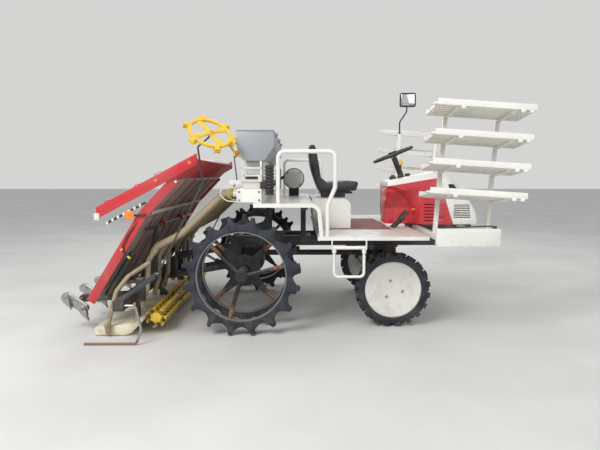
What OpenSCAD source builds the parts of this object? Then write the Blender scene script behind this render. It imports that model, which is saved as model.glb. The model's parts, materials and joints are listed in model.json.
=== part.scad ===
/* [Wheels] */
// Distance between the front and rear axles
wheelbase = 1120; // [1050:10:1250]
// Diameter of the rear wheel over its lugs
rear_wheel_d = 850; // [800:10:900]
// Diameter of the front wheel over its lugs
front_wheel_d = 565; // [520:5:600]
// Middle of the rear wheel's driving ring from the centre line
rear_ring_y = 610; // [580:5:640]
// Middle of the outer floating ring from the centre line
outer_ring_y = 855; // [800:5:900]
// Width of a lug on the driving ring
rear_lug_w = 76; // [50:2:90]
// Width of a lug on the outer ring
outer_lug_w = 60; // [40:2:80]
// Number of lugs round each rear ring
rear_lugs = 16; // [12:1:20]
// Middle of the front tyre from the centre line
front_tyre_y = 618; // [590:2:660]
// Width of the front tyre
front_tyre_w = 90; // [70:2:110]
// Number of lugs round each shoulder of the front tyre
front_lugs = 20; // [14:1:26]
// Diameter of the front wheel's flat disc
front_disc_d = 425; // [380:5:440]
// King pin from the centre line
king_pin_y = 470; // [440:5:490]

/* [Frame and floor] */
// Height of the top of the frame rails
rail_top = 640; // [600:5:660]
// Height of the step floor
step_top = 723; // [715:1:760]
// Height of the rear deck
deck_top = 949; // [930:1:1000]
// Half of the floor's width
floor_half_w = 965; // [900:5:1000]
// Thickness of the floor and deck sheet
sheet = 4; // [3:0.5:6]
// Depth of the rolled edge round the floor and deck
edge_h = 26; // [20:1:32]
// Front end of the floor, ahead of the rear axle
floor_front = 1303; // [1280:1:1330]
// Rear end of the deck, ahead of the rear axle
deck_rear = 97; // [60:1:130]
// Half of the seat box's width
seat_box_half_w = 415; // [380:5:440]

/* [Handrails and ladders] */
// Diameter of the handrail tube
handrail_d = 29; // [24:1:34]
// Height of the handrail
handrail_top = 1302; // [1250:1:1350]
// Diameter of the ladder tube
ladder_d = 20; // [16:1:26]
// Height of the ladder's lowest rung
ladder_bottom = 434; // [400:2:480]

/* [Hood] */
// Height of the hood's lower edge
hood_bottom = 737; // [737:1:745]
// Thickness of the hood's wall
hood_wall = 4; // [3:0.5:6]
// Gap between the hood's panels
panel_gap = 5; // [5:0.5:8]
// Outside diameter of the steering wheel
steering_wheel_d = 361; // [340:1:380]
// Thickness of the steering wheel's rim
steering_rim_d = 26; // [22:1:30]
// Lean of the steering column
column_lean = 22; // [18:0.5:26]

/* [Seedling racks] */
// Length of a rack shelf
shelf_l = 642; // [560:2:680]
// Width of a rack shelf
shelf_w = 295; // [280:1:300]
// Height between shelves
shelf_pitch = 190; // [170:1:200]
// Height of a shelf's side lip
shelf_lip = 40; // [25:1:45]
// Forward lean of the rack
rack_lean = 3.7; // [0:0.1:5]
// Rise of a shelf towards its outer edge
shelf_cant = 7.5; // [3:0.5:9]
// Square size of a rack post
rack_post = 28; // [22:1:32]
// Rack posts from the centre line
rack_y = 785; // [770:5:800]

/* [Fertiliser applicator] */
// Half of the hopper's length across the machine
hopper_half_l = 915; // [860:5:930]
// Height of the hopper's rim
hopper_top = 1441; // [1420:1:1470]
// Thickness of the hopper's wall
hopper_wall = 5; // [4:0.5:7]
// Outside diameter of a fertiliser hose
hose_d = 56; // [44:1:60]

/* [Planting unit] */
// Distance between planted rows
row_pitch = 300; // [290:1:310]
// Half of the seedling table's width, over its end plates
table_half_w = 936; // [925:1:950]
// Thickness of a table end plate
end_plate_t = 14; // [8:1:16]
// Depth of a table end plate
end_plate_w = 62; // [52:1:64]
// Thickness of the table's lane panels
table_t = 16; // [12:1:20]
// Sideways travel of the table each way
table_travel = 140; // [120:1:145]
// Height of the planting shafts
planting_z = 214; // [210:1:222]
// Planting shafts behind the rear axle
planting_x = 1228; // [1224:1:1260]
// Reach of the planting claws from their shaft
claw_reach = 168; // [140:1:170]
// Radius of the levelling rotor
rotor_r = 75; // [60:1:78]
// Diameter of the end guards' tube
guard_d = 18; // [14:1:22]
// Radius of a marker wheel's ring
marker_r = 148; // [130:1:165]

/* [Hidden] */
$fn = 48;

// The middle of the machine is ahead of the rear axle by this much
axle_back = 311;
seat_gap = 0.3;
run_gap = 0.05;
rear_r = rear_wheel_d / 2;
front_r = front_wheel_d / 2;
rear_z = rear_r;
front_z = front_r;
front_x = wheelbase;

// Frame rails, and the members that carry the floor and deck
rail_y = 180;
rail_w = 50;
rail_h = 80;
rail_bottom = rail_top - rail_h;
rail_rear = -110;
rail_front = 1840;
rib_w = 40;
outrigger_x = [570, 1000, 1240];
deck_beam_x = [150, 450];
deck_beam_h = 40;
under_deck = deck_top - sheet;
riser_x = 575;
corner_r = 70;
notch_x = 1160;
notch_half_w = 138;
engine_top = 900;
hood_sill = [1430, 1690];

plinth_half_w = notch_half_w + 30;
plate_rear = rail_rear - 70;
bonnet_hinge = [1868, 752];
bonnet_ear_y = 166;
bonnet_pin_r = 5;
tow_eye_r = 13;
weight_bolt_y = 120;
weight_bolt_r = 6.5;
ladder_hinge = [10 - floor_half_w, 646];
ladder_x = [650, 856];
lid_hinge = [247, hopper_top + 4];
seat_pan_z = 990;
seat_roll_r = 9;
seat_hinge = [850, seat_pan_z + seat_roll_r];
lid_hinge_y = [-600, 0, 600];

// Rear lift linkage: side, height and length of its bars
link_front = [-150, 380];
link_rear = [-650, 292];
link_gap = 150;
lower_link_y = 130;
link_t = 12;
link_w = 44;
link_pin_r = 12;
upper_link_y = 62;
loose_pin_gap = 5;
cylinder_foot = [-158, 300];
cylinder_eye = 300;
cylinder_r = 24;
piston_rod_r = 12;

// Planting unit
beam_x = -800;
beam_z = 272;
beam_w = 70;
table_line = [[-1042, 265], [-665, 870], [-426, 1123]];
extension_line = [[-422.4, 1126.2], [-280, 1254]];
divider_t = 8;
lane_edge = table_half_w - 40;
rotor_x = -622;
rotor_z = 122;
rotor_shaft_r = 12;
shaft_r = 12;
float_pad_top = 92;
float_y = 660;
float_half_w = [210, 170];
// A tooth of the rotor: share of its radius, and angle
rotor_tooth = [[0.5, -10], [0.72, -5], [0.9, -9], [1, -8], [1, 8], [0.9, 9], [0.72, 5], [0.5, 10]];
case_w = 50;
case_h = 56;
case_y = [-2 * row_pitch, 0, 2 * row_pitch];
guard_y = 1065;
guard_r = guard_d / 2;
marker_pivot = [-560, -985, 470];
marker_hub = [-178, -1012, 1420];
marker_axis = [0.36, -0.58, 0.73];
hose_top = [-62, 1010];
hose_end = [-650, 581];
pipe_start = unit([-40, 0, -61]);
hose_rows = [-2.5, -1.5, -0.5, 0.5, 1.5, 2.5];

// Points along an arc
function arc(c, r, a, b, n = 6) = [for (i = [0:n])
    c + r * [cos(a + (b - a) * i / n), sin(a + (b - a) * i / n)]];

// Unit vector, and the left-hand normal of a direction in a plane
function unit(v) = v / norm(v);
function left(v) = [-v.y, v.x];

// One side of a band that follows a line, a distance to the left of it
function beside(line, d) = [for (i = [0:len(line) - 1])
    let (a = unit(line[min(i + 1, len(line) - 1)] - line[min(i, len(line) - 2)]),
         b = unit(line[max(i, 1)] - line[max(i - 1, 0)]),
         m = unit(left(a) + left(b)))
    line[i] + m * d / (m * left(a))];
function reversed(list) = [for (i = [len(list) - 1:-1:0]) list[i]];
function band(line, low, high) = concat(beside(line, low), reversed(beside(line, high)));

// Corners of an outline, each rounded by its own radius
function rounded(pts, radii, n = 5) = [for (i = [0:len(pts) - 1])
    let (p = pts[i], u = unit(pts[(i + len(pts) - 1) % len(pts)] - p), v = unit(pts[(i + 1) % len(pts)] - p),
         r = radii[i], half = acos(max(-1, min(1, u * v))) / 2)
    each r == 0 ? [p] : let (c = p + unit(u + v) * r / sin(half), t = r / tan(half),
        s = p + u * t - c, e = p + v * t - c, turn = 180 - 2 * half, w = s.x * e.y - s.y * e.x > 0 ? 1 : -1)
        [for (k = [0:n]) let (f = turn * k / n * w)
            c + [s.x * cos(f) - s.y * sin(f), s.x * sin(f) + s.y * cos(f)]]];

// A flat shape drawn in the side view, between two places across the machine
module side_plate(pts, y0, y1) {
    translate([0, y1, 0]) rotate([90, 0, 0]) linear_extrude(y1 - y0) polygon(pts);
}

module block(x0, x1, y0, y1, z0, z1) {
    translate([x0, y0, z0]) cube([x1 - x0, y1 - y0, z1 - z0]);
}

// A round bar between two points
module rod(p, q, r) {
    d = q - p;
    translate(p) rotate([0, acos(d.z / norm(d)), atan2(d.y, d.x)]) cylinder(h = norm(d), r = r);
}

// A pin or a boss across the machine, drawn in the side view at p
module cross_pin(p, r, y0, y1) {
    translate([p.x, y1, p.y]) rotate([90, 0, 0]) cylinder(h = y1 - y0, r = r);
}

// A flat bar with round ends, seen from the side
module link_bar(p, q, w, y0, y1) {
    d = q - p;
    n = left(unit(d)) * w / 2;
    side_plate([p - n, q - n, q + n, p + n], y0, y1);
    cross_pin(p, w / 2, y0, y1);
    cross_pin(q, w / 2, y0, y1);
}

// The middle line of a bent tube: corners replaced by arcs
function bent_line(pts, bend, n = 4) = let (last = len(pts) - 1) concat([pts[0]],
    [for (i = [1:last - 1]) let (u = unit(pts[i] - pts[i - 1]), v = unit(pts[i + 1] - pts[i]),
        turn = acos(u * v), s = unit(v - (u * v) * u), start = pts[i] - u * bend * tan(turn / 2))
        for (k = [0:n]) start + u * bend * sin(turn * k / n) + s * bend * (1 - cos(turn * k / n))],
    [pts[last]]);

// A round section carried along a line without twisting
function carried(line, i, w) = let (last = len(line) - 1,
        t = unit(line[min(i + 1, last)] - line[max(i - 1, 0)]), a = unit(w - (w * t) * t))
    i == last ? [[t, a]] : concat([[t, a]], carried(line, i + 1, a));

module bent_tube(pts, r, bend, sides = 12) {
    line = bent_line(pts, bend);
    t = unit(line[1] - line[0]);
    frames = carried(line, 0, abs(t.y) < 0.9 ? [0, 1, 0] : [1, 0, 0]);
    fat = r / cos(90 / sides);
    loft([for (i = [0:len(line) - 1]) let (a = frames[i][1], b = cross(frames[i][0], a))
        [for (k = [0:sides - 1]) line[i] + fat * (cos(k * 360 / sides) * a - sin(k * 360 / sides) * b)]]);
}

// A closed skin through rings with equal numbers of points
module loft(rings) {
    n = len(rings[0]);
    m = len(rings);
    polyhedron(points = [for (ring = rings) each ring], faces = concat(
        [[for (i = [n - 1:-1:0]) i]], [[for (i = [0:n - 1]) (m - 1) * n + i]],
        [for (k = [0:m - 2], i = [0:n - 1]) let (j = (i + 1) % n) each
            [[k * n + i, k * n + j, (k + 1) * n + j], [k * n + i, (k + 1) * n + j, (k + 1) * n + i]]]));
}

// The right-hand half, and its mirror image
module both_sides() {
    children();
    mirror([0, 1, 0]) children();
}

module on_side(s) {
    if (s > 0) mirror([0, 1, 0]) children();
    else children();
}

// Everything is drawn from the rear axle and moved to the middle of the machine
module from_axle() {
    translate([-axle_back, 0, 0]) children();
}

// A wheel is drawn flat, its height being the distance outwards from the centre line
module at_wheel(x, z) {
    translate([x, 0, z]) rotate([90, 0, 0]) children();
}

// One side of the frame: its rail, the plate that carries the rear links, a hood sill and a bonnet ear
module frame_side() {
    plate = [-lower_link_y - link_t - 20, -lower_link_y - link_t / 2 - 5];
    low = cylinder_foot.y - 30;
    block(rail_rear, rail_front, -rail_y - rail_w / 2, -rail_y + rail_w / 2, rail_bottom, rail_top);
    side_plate([[rail_rear + 10, rail_bottom], [plate_rear, link_front.y + link_gap + 40], [plate_rear, low],
        [plate_rear + 50, low], [rail_rear + 50, rail_bottom]], plate.x, plate.y);
    side_plate([[rail_rear + 50, rail_bottom], [rail_rear + 10, rail_bottom], [plate_rear, rail_top - 60],
        [plate_rear, rail_top], [rail_rear + 50, rail_top]], -rail_y + rail_w / 2 - 10, plate.y);
    block(hood_sill.x, hood_sill.y, -206, -190, rail_top - 1, hood_bottom);
    block(hood_sill.x, hood_sill.y, -242, -190, hood_bottom - 12, hood_bottom);
    side_plate([[rail_front - 10, 700], [rail_front, 700], bonnet_hinge + [-6, -22], bonnet_hinge + [10, -4],
        bonnet_hinge + [0, 10], [rail_front - 10, hood_bottom]], -bonnet_ear_y - 10, -bonnet_ear_y);
}

module main_frame() {
    pin_end = lower_link_y + link_t + 19;
    color("dimgray") from_axle() difference() {
        union() {
            both_sides() frame_side();
            for (x = [rail_rear, 480, rail_front - 40])
                block(x, x + 40, -rail_y, rail_y, rail_bottom + 10, rail_top - 10);
            block(rail_front - 40, rail_front, -236, 236, rail_top - 30, hood_bottom - seat_gap);
            block(rail_front, rail_front + 60, -6, 6, rail_bottom + 20, rail_top);
            cross_pin(bonnet_hinge, bonnet_pin_r, -bonnet_ear_y - 1, bonnet_ear_y + 1);
            for (p = [link_front, link_front + [0, link_gap], cylinder_foot])
                cross_pin(p, link_pin_r, -pin_end, pin_end);
        }
        cross_pin([rail_front + 36, rail_bottom + 50], tow_eye_r, -10, 10);
        for (y = [-1, 1] * weight_bolt_y)
            rod([rail_front - 60, y, rail_top + 30], [rail_front + 20, y, rail_top + 30], weight_bolt_r);
    }
}

// A flat shape drawn across the machine, as thick as a rib
module cross_rib(x) {
    translate([x - rib_w / 2, 0, 0]) rotate([90, 0, 90]) linear_extrude(rib_w) children();
}

// Tapered outriggers under the floor, and the deck's beams on their posts
module floor_carriers() {
    tip = -floor_half_w + 40;
    top = step_top - sheet;
    root = -rail_y - rail_w / 2;
    inner = -plinth_half_w - seat_gap;
    w = floor_half_w - 60;
    low = under_deck - deck_beam_h;
    post = [rail_y - rib_w / 2, rail_y + rib_w / 2];
    color("dimgray") from_axle() {
        both_sides() for (x = outrigger_x)
            cross_rib(x) polygon([[tip, top - 30], [tip, top], [inner, top], [inner, rail_top],
                [root, rail_top], [root, rail_top - 25]]);
        for (x = deck_beam_x)
            cross_rib(x) polygon([[-w, low], [-w, under_deck], [w, under_deck], [w, low], [post.y, low],
                [post.y, rail_top],
                [post.x, rail_top], [post.x, low], [-post.x, low], [-post.x, rail_top], [-post.y, rail_top],
                    [-post.y, low]]);
    }
}

module engine_block() {
    color("gray") from_axle() {
        block(1310, 1560, -rail_y, rail_y, rail_top, 690);
        block(1310, 1560, -115, 115, 689, engine_top);
    }
}

module front_axle() {
    housing_r = 50;
    case_x = [front_x - 70, front_x + 120];
    arm_z = 472;
    color("dimgray") from_axle() difference() {
        union() {
            side_plate(rounded([[case_x[0], 560], [case_x[0], 320], [case_x[1], 320], [case_x[1], 560]],
                [0, 40, 40, 0]), -140, 140);
            block(case_x[0], case_x[1], -rail_y - rail_w / 2, rail_y + rail_w / 2, rail_bottom - 16,
                rail_bottom);
            both_sides() {
                rod([front_x, -139, arm_z], [front_x, -king_pin_y + 5, arm_z], 42);
                translate([front_x, -king_pin_y, 400]) cylinder(h = 145, r = housing_r);
            }
        }
        both_sides() translate([front_x, -king_pin_y, 390]) cylinder(h = 165, r = 22 + run_gap);
    }
}

module rear_axle() {
    color("dimgray") from_axle() {
        side_plate(rounded([[-100, rail_bottom], [-100, 340], [110, 340], [110, rail_bottom]],
            [0, 50, 50, 0]), -110, 110);
        block(-60, 90, -rail_y - rail_w / 2, rail_y + rail_w / 2, rail_bottom - 16, rail_bottom);
        rod([109, 0, 470], [front_x - 70, 0, 470], 24);
        both_sides() {
            rod([0, -109, rear_z], [0, -500, rear_z], 52);
            rod([0, -499, rear_z], [0, -502, rear_z], 70);
            rod([0, -500, rear_z], [0, -700, rear_z], 22);
        }
    }
}

module step_floor() {
    rear = riser_x - 38;
    rim = [step_top - edge_h, step_top - sheet + 0.5];
    color("white") from_axle() difference() {
        union() {
            block(rear, floor_front, -floor_half_w, floor_half_w, step_top - sheet, step_top);
            both_sides() block(rear, floor_front, -floor_half_w, -floor_half_w + 14, rim.x, rim.y);
            block(floor_front - 6, floor_front, -floor_half_w, floor_half_w, rim.x, rim.y);
            both_sides() for (e = [[ladder_x[0] - 11, -1], [ladder_x[1] + 11, 1]]) {
                block(min(e[0], e[0] + 8 * e[1]), max(e[0], e[0] + 8 * e[1]), ladder_hinge.x - 12,
                    ladder_hinge.x + 12,
                    ladder_hinge.y - 12, rim.x + 1);
                rod([e[0] + e[1], ladder_hinge.x, ladder_hinge.y],
                    [e[0] - 18 * e[1], ladder_hinge.x, ladder_hinge.y], 5);
            }
            block(notch_x - 20, floor_front, -plinth_half_w, plinth_half_w, rim.x, hood_bottom);
        }
        block(notch_x, floor_front + 1, -notch_half_w, notch_half_w, rail_top, hood_bottom + 1);
    }
}

module floor_mat() {
    color("darkred") from_axle() difference() {
        block(riser_x + 70, notch_x - 24, -480, 480, step_top, step_top + 3);
        block(riser_x, 828, -seat_box_half_w - 4, seat_box_half_w + 4, step_top - 1, step_top + 4);
    }
}

module rear_deck() {
    line = concat([[deck_rear, deck_top]], arc([490, deck_top - corner_r], corner_r, 90, 10),
        [[riser_x, step_top]]);
    box_line = concat([[riser_x - 60, 959]], arc([760, 899], 60, 90, 0), [[820, step_top]]);
    w = floor_half_w;
    color("white") from_axle() {
        difference() {
            union() {
                side_plate(band(line, -sheet, 0), -w, w);
                both_sides() side_plate(band(line, -edge_h, 0), -w, -w + 14);
            }
            block(riser_x - 60, riser_x + 20, -w - 1, w + 1, step_top - 40, step_top);
        }
        block(deck_rear, deck_rear + sheet, -w, w, deck_top - edge_h, deck_top - 1);
        difference() {
            union() {
                side_plate(band(box_line, -sheet, 0), -seat_box_half_w, seat_box_half_w);
                both_sides() side_plate(concat([[riser_x - 60, deck_top - 60]], beside(box_line, -1),
                    [[riser_x - 20, step_top]]), -seat_box_half_w, -seat_box_half_w + sheet);
            }
            side_plate(concat(beside(line, -1), [[deck_rear, step_top]]), -w, w);
            block(riser_x - 60, 860, -w, w, step_top - 40, step_top);
        }
    }
}

module seat_pan() {
    color("black") from_axle() {
        both_sides() block(610, 800, -160, -120, 959, seat_pan_z);
        block(590, seat_hinge.x, -180, 180, seat_pan_z, seat_pan_z + 2 * seat_roll_r);
        cross_pin(seat_hinge, seat_roll_r, -180, 180);
    }
}

module seat_pad() {
    low = seat_pan_z + 2 * seat_roll_r + seat_gap;
    color("black") from_axle()
        side_plate(rounded([[575, low], [890, low], [913, 1085], [890, 1100], [640, 1085],
        [590, 1130], [545, 1400], [489, 1401], [500, 1240]], [10, 30, 10, 20, 40, 60, 20, 20, 120]), -230,
            230);
}

// Hood sections: x, top, then half widths at the foot, waist, shoulder and crown
hood_rows = [
    [1148, 1094, 145, 125, 200, 185],
    [1153, 1099, 150, 130, 207, 191],
    [1220, 1113, 150, 132, 225, 205],
    [1340, 1138, 165, 160, 235, 210],
    [1420, 1154, 236, 225, 238, 210],
    [1515, 1173, 240, 236, 236, 205],
    [1631, 1161, 240, 238, 228, 190],
    [1700, 1100, 238, 236, 220, 180],
    [1789, 1016, 234, 230, 205, 165],
    [1844, 941, 226, 222, 195, 155],
    [1892, 859, 215, 212, 185, 150]];

// A section of the hood, thinner by t and reaching below its edge by drop
function hood_ring(r, t, drop) = let (z0 = hood_bottom - drop, z1 = r[1] - t, h = r[1] - hood_bottom,
    half = [[r[2] - t, z0], [r[3] - t, hood_bottom + h * 0.35], [r[4] - t, hood_bottom + h * 0.74],
        [r[4] - t - 6, hood_bottom + h * 0.88], [r[5] - t, z1 - h * 0.02], [r[5] - t - 25, z1]])
    concat([for (p = half) [r[0], -p.x, p.y]], [for (p = reversed(half)) [r[0], p.x, p.y]]);

// The part of the hood's outer form inside an outline in the side view
module hood_form(pts) {
    intersection() {
        loft([for (r = hood_rows) hood_ring(r, 0, 0)]);
        side_plate(pts, -300, 300);
    }
}

module hood_shell(pts) {
    last = len(hood_rows) - 1;
    difference() {
        hood_form(pts);
        difference() {
            loft([for (i = [0:last])
                let (ring = hood_ring(hood_rows[i], hood_wall, 5),
                    e = i == 0 ? -9 : i == last ? -hood_wall : 0)
                [for (p = ring) p + [e, 0, 0]]]);
            block(1130, hood_rows[1][0] + 1, -300, 300, 700, 1200);
        }
    }
}

louvre_h = 8;
lamp_r = 34;
lamp_y = 118;
lamp_z = 808;
lever = [1271, -120];
dash_line = [[1140, 1050], [1568, 1122]];
cowl_line = [[1568, 1200], [1568, 1110], [1700, 700]];

// Slots through both sides of the hood, one above the other
module louvres(x, z, count) {
    for (i = [0:count - 1]) let (low = z[0] + i * (z[1] - z[0] - louvre_h) / (count - 1))
        block(x[0], x[1], -300, 300, low, low + louvre_h);
}

module hood_body() {
    g = [panel_gap / 2, 0];
    color("red") from_axle() difference() {
        hood_shell([dash_line[0], dash_line[1] - g, cowl_line[2] - g, [1140, 700]]);
        louvres([1450, 1612], [766, 906], 6);
    }
}

module dash_panel() {
    g = [panel_gap / 2, 0];
    up = [0, seat_gap];
    color("white") from_axle() difference() {
        hood_shell([dash_line[0] + up, dash_line[1] - g + up, [dash_line[1].x, 1200] - g, [1140, 1200]]);
        column(30);
        translate([lever.x, lever.y, 1000]) cylinder(h = 250, r = 12);
    }
}

module front_cowl() {
    g = [panel_gap / 2, 0];
    hinge_w = bonnet_ear_y - 3;
    color("white") from_axle() difference() {
        union() {
            difference() {
                hood_shell([cowl_line[0] + g, cowl_line[1] + g, cowl_line[2] + g, [1900, 700], [1900, 1200]]);
                louvres([1692, 1838], [790, 900], 8);
                side_plate([[1652, 1030], [1646, 1070], [1694, 1070], [1722, 1034]], -300, 300);
            }
            cross_pin(bonnet_hinge, 11, -hinge_w, hinge_w);
            block(bonnet_hinge.x, 1890, -hinge_w, hinge_w, bonnet_hinge.y - 4, bonnet_hinge.y + 4);
        }
        cross_pin(bonnet_hinge, bonnet_pin_r + run_gap, -200, 200);
        both_sides() rod([1870, -lamp_y, lamp_z], [1900, -lamp_y, lamp_z], lamp_r + seat_gap);
    }
}

// Round lamps in the nose, each a bowl behind a bevelled lens
module headlamps() {
    color("whitesmoke") from_axle() both_sides() translate([1872, -lamp_y, lamp_z]) rotate([0, 90, 0])
        rotate_extrude() polygon([[0, 0], [lamp_r - 8, 0], [lamp_r, 10], [lamp_r, 21], [lamp_r - 4, 24],
            [10, 26], [0, 26]]);
}

// The steering column's line, from the engine to the wheel
column_top = [1226, 1321];

module column(r) {
    difference() {
        translate([column_top.x, 0, column_top.y]) rotate([0, -column_lean, 0]) translate([0, 0, -520])
            cylinder(h = 490, r = r);
        block(1200, 1600, -100, 100, 700, engine_top);
    }
}

module controls() {
    foot = [1338, 1043];
    color("black") from_axle() {
        column(24);
        translate([column_top.x, 0, column_top.y]) rotate([0, -column_lean, 0]) translate([0, 0, -40])
            cylinder(h = 60, r = 10);
        for (y = [-300, -380]) {
            side_plate([[1150, step_top], [1180, step_top], [1262, 800], [1244, 812]], y - 8, y + 8);
            side_plate([[1230, 790], [1290, 850], [1280, 860], [1220, 800]], y - 30, y + 30);
        }
        rod([foot.x, 0, foot.y], [lever.x, lever.y, foot.y + 40], 7);
        translate([lever.x, lever.y, foot.y + 30]) cylinder(h = 182, r = 6);
        translate([lever.x, lever.y, 1233]) rotate_extrude()
            polygon(rounded([[0, 0], [10, 0], [15, 14], [9, 28], [0, 28]], [0, 3, 8, 6, 0]));
    }
}

module steering_wheel() {
    ring_r = (steering_wheel_d - steering_rim_d) / 2;
    color("black") from_axle() translate([column_top.x, 0, column_top.y]) rotate([0, -column_lean, 0])
        difference() {
        union() {
            rotate_extrude() translate([ring_r, 0]) circle(steering_rim_d / 2);
            translate([0, 0, -24]) cylinder(h = 50, r = 34);
            for (a = [60, 180, 300]) rotate(a) translate([0, -12, -14]) cube([ring_r, 24, 10]);
        }
        translate([0, 0, -41]) cylinder(h = 62, r = 10 + run_gap);
    }
}

module side_bumpers() {
    color("white") from_axle() both_sides() {
        difference() {
            block(1330, 1750, -1040, -1000, 666, 785);
            block(1334, 1746, -1036, -999, 670, 781);
        }
        for (x = [1384, 1756])
            block(x - 16, x + 6, -1037, -1000, 672, 780);
    }
}

module handrails() {
    y = -floor_half_w + 12;
    color("white") from_axle() both_sides() {
        bent_tube([[267, y, deck_top], [267, y, handrail_top], [654, y, handrail_top], [654, y, 1060],
            [604, y, 940], [604, y, step_top]],
            handrail_d / 2, 45);
    }
}

module ladder(s) {
    y = ladder_hinge.x;
    z = ladder_hinge.y;
    r = ladder_d / 2;
    color("white") from_axle() on_side(s) difference() {
        union() {
            bent_tube([[ladder_x[0], y, z], [ladder_x[0], y, ladder_bottom + r],
                [ladder_x[1], y, ladder_bottom + r], [ladder_x[1], y, z]], r, 30);
            rod([ladder_x[0] - 10, y, z], [ladder_x[1] + 10, y, z], r + 3);
        }
        for (x = [ladder_x[0] - 11, ladder_x[1] - 9]) rod([x, y, z], [x + 20, y, z], 5 + run_gap);
    }
}

module ladder_right() { ladder(-1); }
module ladder_left() { ladder(1); }

// Rack posts and shelves
post_x = [1384, 1756];
bar_top = 730;
rack_top = 1560;
shelf_low_z = 1538 - 3 * shelf_pitch;
module shelf_place(i) {
    translate([1618 - (3 - i) * shelf_pitch * tan(rack_lean),
        -rack_y - rack_post / 2 - shelf_lip * sin(shelf_cant) - 1, shelf_low_z + i * shelf_pitch])
        rotate([0, rack_lean, 0]) rotate([-shelf_cant, 0, 0]) children();
}

module rack_frames() {
    color("white") from_axle() both_sides() {
        difference() {
            for (x = post_x)
                translate([x - rack_post / 2, -rack_y - rack_post / 2, bar_top - 30])
                    rotate([0, rack_lean, 0])
                    cube([rack_post, rack_post, 900]);
            block(1300, 1900, -900, -700, 600, bar_top - 10);
            block(1300, 1900, -900, -700, rack_top, 1700);
        }
        for (x = post_x) {
            block(x - 20, x + 20, -1000, -rail_y, bar_top - 40, bar_top);
            block(x - 20, x + 20, -rail_y - rail_w / 2, -rail_y, rail_top, bar_top - 39);
        }
    }
}

module rack_shelves() {
    color("white") from_axle() both_sides() difference() {
        for (i = [0:3]) shelf_place(i) {
            translate([-shelf_l / 2, -shelf_w, 0]) {
                cube([shelf_l, shelf_w, 4]);
                for (y = [0, shelf_w - 6]) translate([0, y, 0]) cube([shelf_l, 6, shelf_lip]);
                translate([shelf_l - 24, 0, 0]) cube([24, shelf_w, shelf_lip]);
                cube([6, shelf_w, 22]);
            }
            for (x = [-196, 176]) translate([x, -shelf_w + 30, -14]) cube([24, shelf_w, 15]);
        }
        block(1300, 2000, -rack_y - rack_post / 2, -600, 600, 1800);
    }
}

module side_mirror() {
    color("black") from_axle() {
        bent_tube([[1440, rack_y, rack_top], [1440, rack_y, 1680], [1500, 745, 1780], [1500, 745, 1860]], 7,
            20);
        translate([1506, 735, 1893]) rotate([90, 0, 0]) linear_extrude(14, center = true)
            polygon(rounded([[-81, -70], [81, -70], [81, 70], [-81, 70]], [20, 20, 20, 20]));
    }
}

// The hopper's section, narrowing to its foot, smaller by t
function hopper_section(t, top) = rounded([[30 + t, 1241 + t], [170 - t, 1241 + t], [235 - t, 1330 + t / 5],
    [235 - t, top], [-16 + t, top], [-16 + t, 1330 + t / 5]], [20 - t, 20 - t, 40 - t, 0, 0, 40 - t]);

module hopper() {
    w = hopper_wall;
    color("lightgray") from_axle() {
        difference() {
            side_plate(hopper_section(0, hopper_top), -hopper_half_l, hopper_half_l);
            side_plate(hopper_section(w, hopper_top + 1), -hopper_half_l + w, hopper_half_l - w);
        }
        for (y = lid_hinge_y) {
            for (e = [-1, 1])
                side_plate([[234, hopper_top - 26], lid_hinge + [8, -6], lid_hinge + [6, 8],
                    lid_hinge + [-6, 8], [234, hopper_top]],
                    y + e * 46 - 5, y + e * 46 + 5);
            cross_pin(lid_hinge, 4, y - 45, y + 45);
        }
    }
}

module hopper_lid() {
    w = hopper_half_l + 3;
    color("gray") from_axle() difference() {
        union() {
            block(-20, lid_hinge.x - 9, -w, w, hopper_top + seat_gap, hopper_top + 8);
            for (y = lid_hinge_y) {
                cross_pin(lid_hinge, 7.5, y - 40, y + 40);
                block(lid_hinge.x - 10, lid_hinge.x, y - 40, y + 40, hopper_top + 1, hopper_top + 8);
            }
        }
        for (y = lid_hinge_y) {
            cross_pin(lid_hinge, 4 + run_gap, y - 50, y + 50);
            for (e = [-1, 1])
                block(lid_hinge.x - 16, lid_hinge.x + 10, y + e * 46 - 6, y + e * 46 + 6, hopper_top,
                    hopper_top + 20);
        }
    }
}

module metering_unit() {
    color("white") from_axle() {
        for (k = hose_rows) {
            y = k * row_pitch;
            side_plate([[40, 1145], [140, 1145], [168, 1240.7], [32, 1240.7]], y - 90, y + 90);
        }
        block(8, 155, -hopper_half_l + 15, hopper_half_l - 15, 1096, 1145);
        block(20, 140, -hopper_half_l + 30, hopper_half_l - 30, 1048, 1096);
    }
}

module applicator_stand() {
    color("white") from_axle() {
        difference() {
            block(-20, 150, -hopper_half_l, hopper_half_l, deck_top, 1048);
            block(-16, 146, -hopper_half_l + 4, hopper_half_l - 4, deck_top - 1, 1044);
            block(-21, deck_rear - 2, -hopper_half_l - 1, hopper_half_l + 1, deck_top - 1, deck_top + 7);
        }
        for (k = hose_rows)
            rod([-19, k * row_pitch, hose_top.y], [hose_top.x + seat_gap, k * row_pitch, hose_top.y],
                hose_d / 2 - 3);
    }
}

module blower() {
    color("dimgray") from_axle() {
        cross_pin([368, 1112], 100, 440, 560);
        block(320, 416, 450, 550, deck_top, 1040);
        side_plate([[368, 1180], [368, 1212], [190, 1090], [190, 1058]], 470, 530);
        rod([185, -880, 1074], [185, 880, 1074], 30);
    }
}

module hoses() {
    color("tan") from_axle() for (k = hose_rows) {
        y = k * row_pitch;
        bent_tube([[hose_top.x, y, hose_top.y], [-130, y, hose_top.y], [-440, y, 720],
            [hose_end.x, y, hose_end.y] - 60 * pipe_start,
            [hose_end.x, y, hose_end.y]], hose_d / 2, 60);
    }
}

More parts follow.
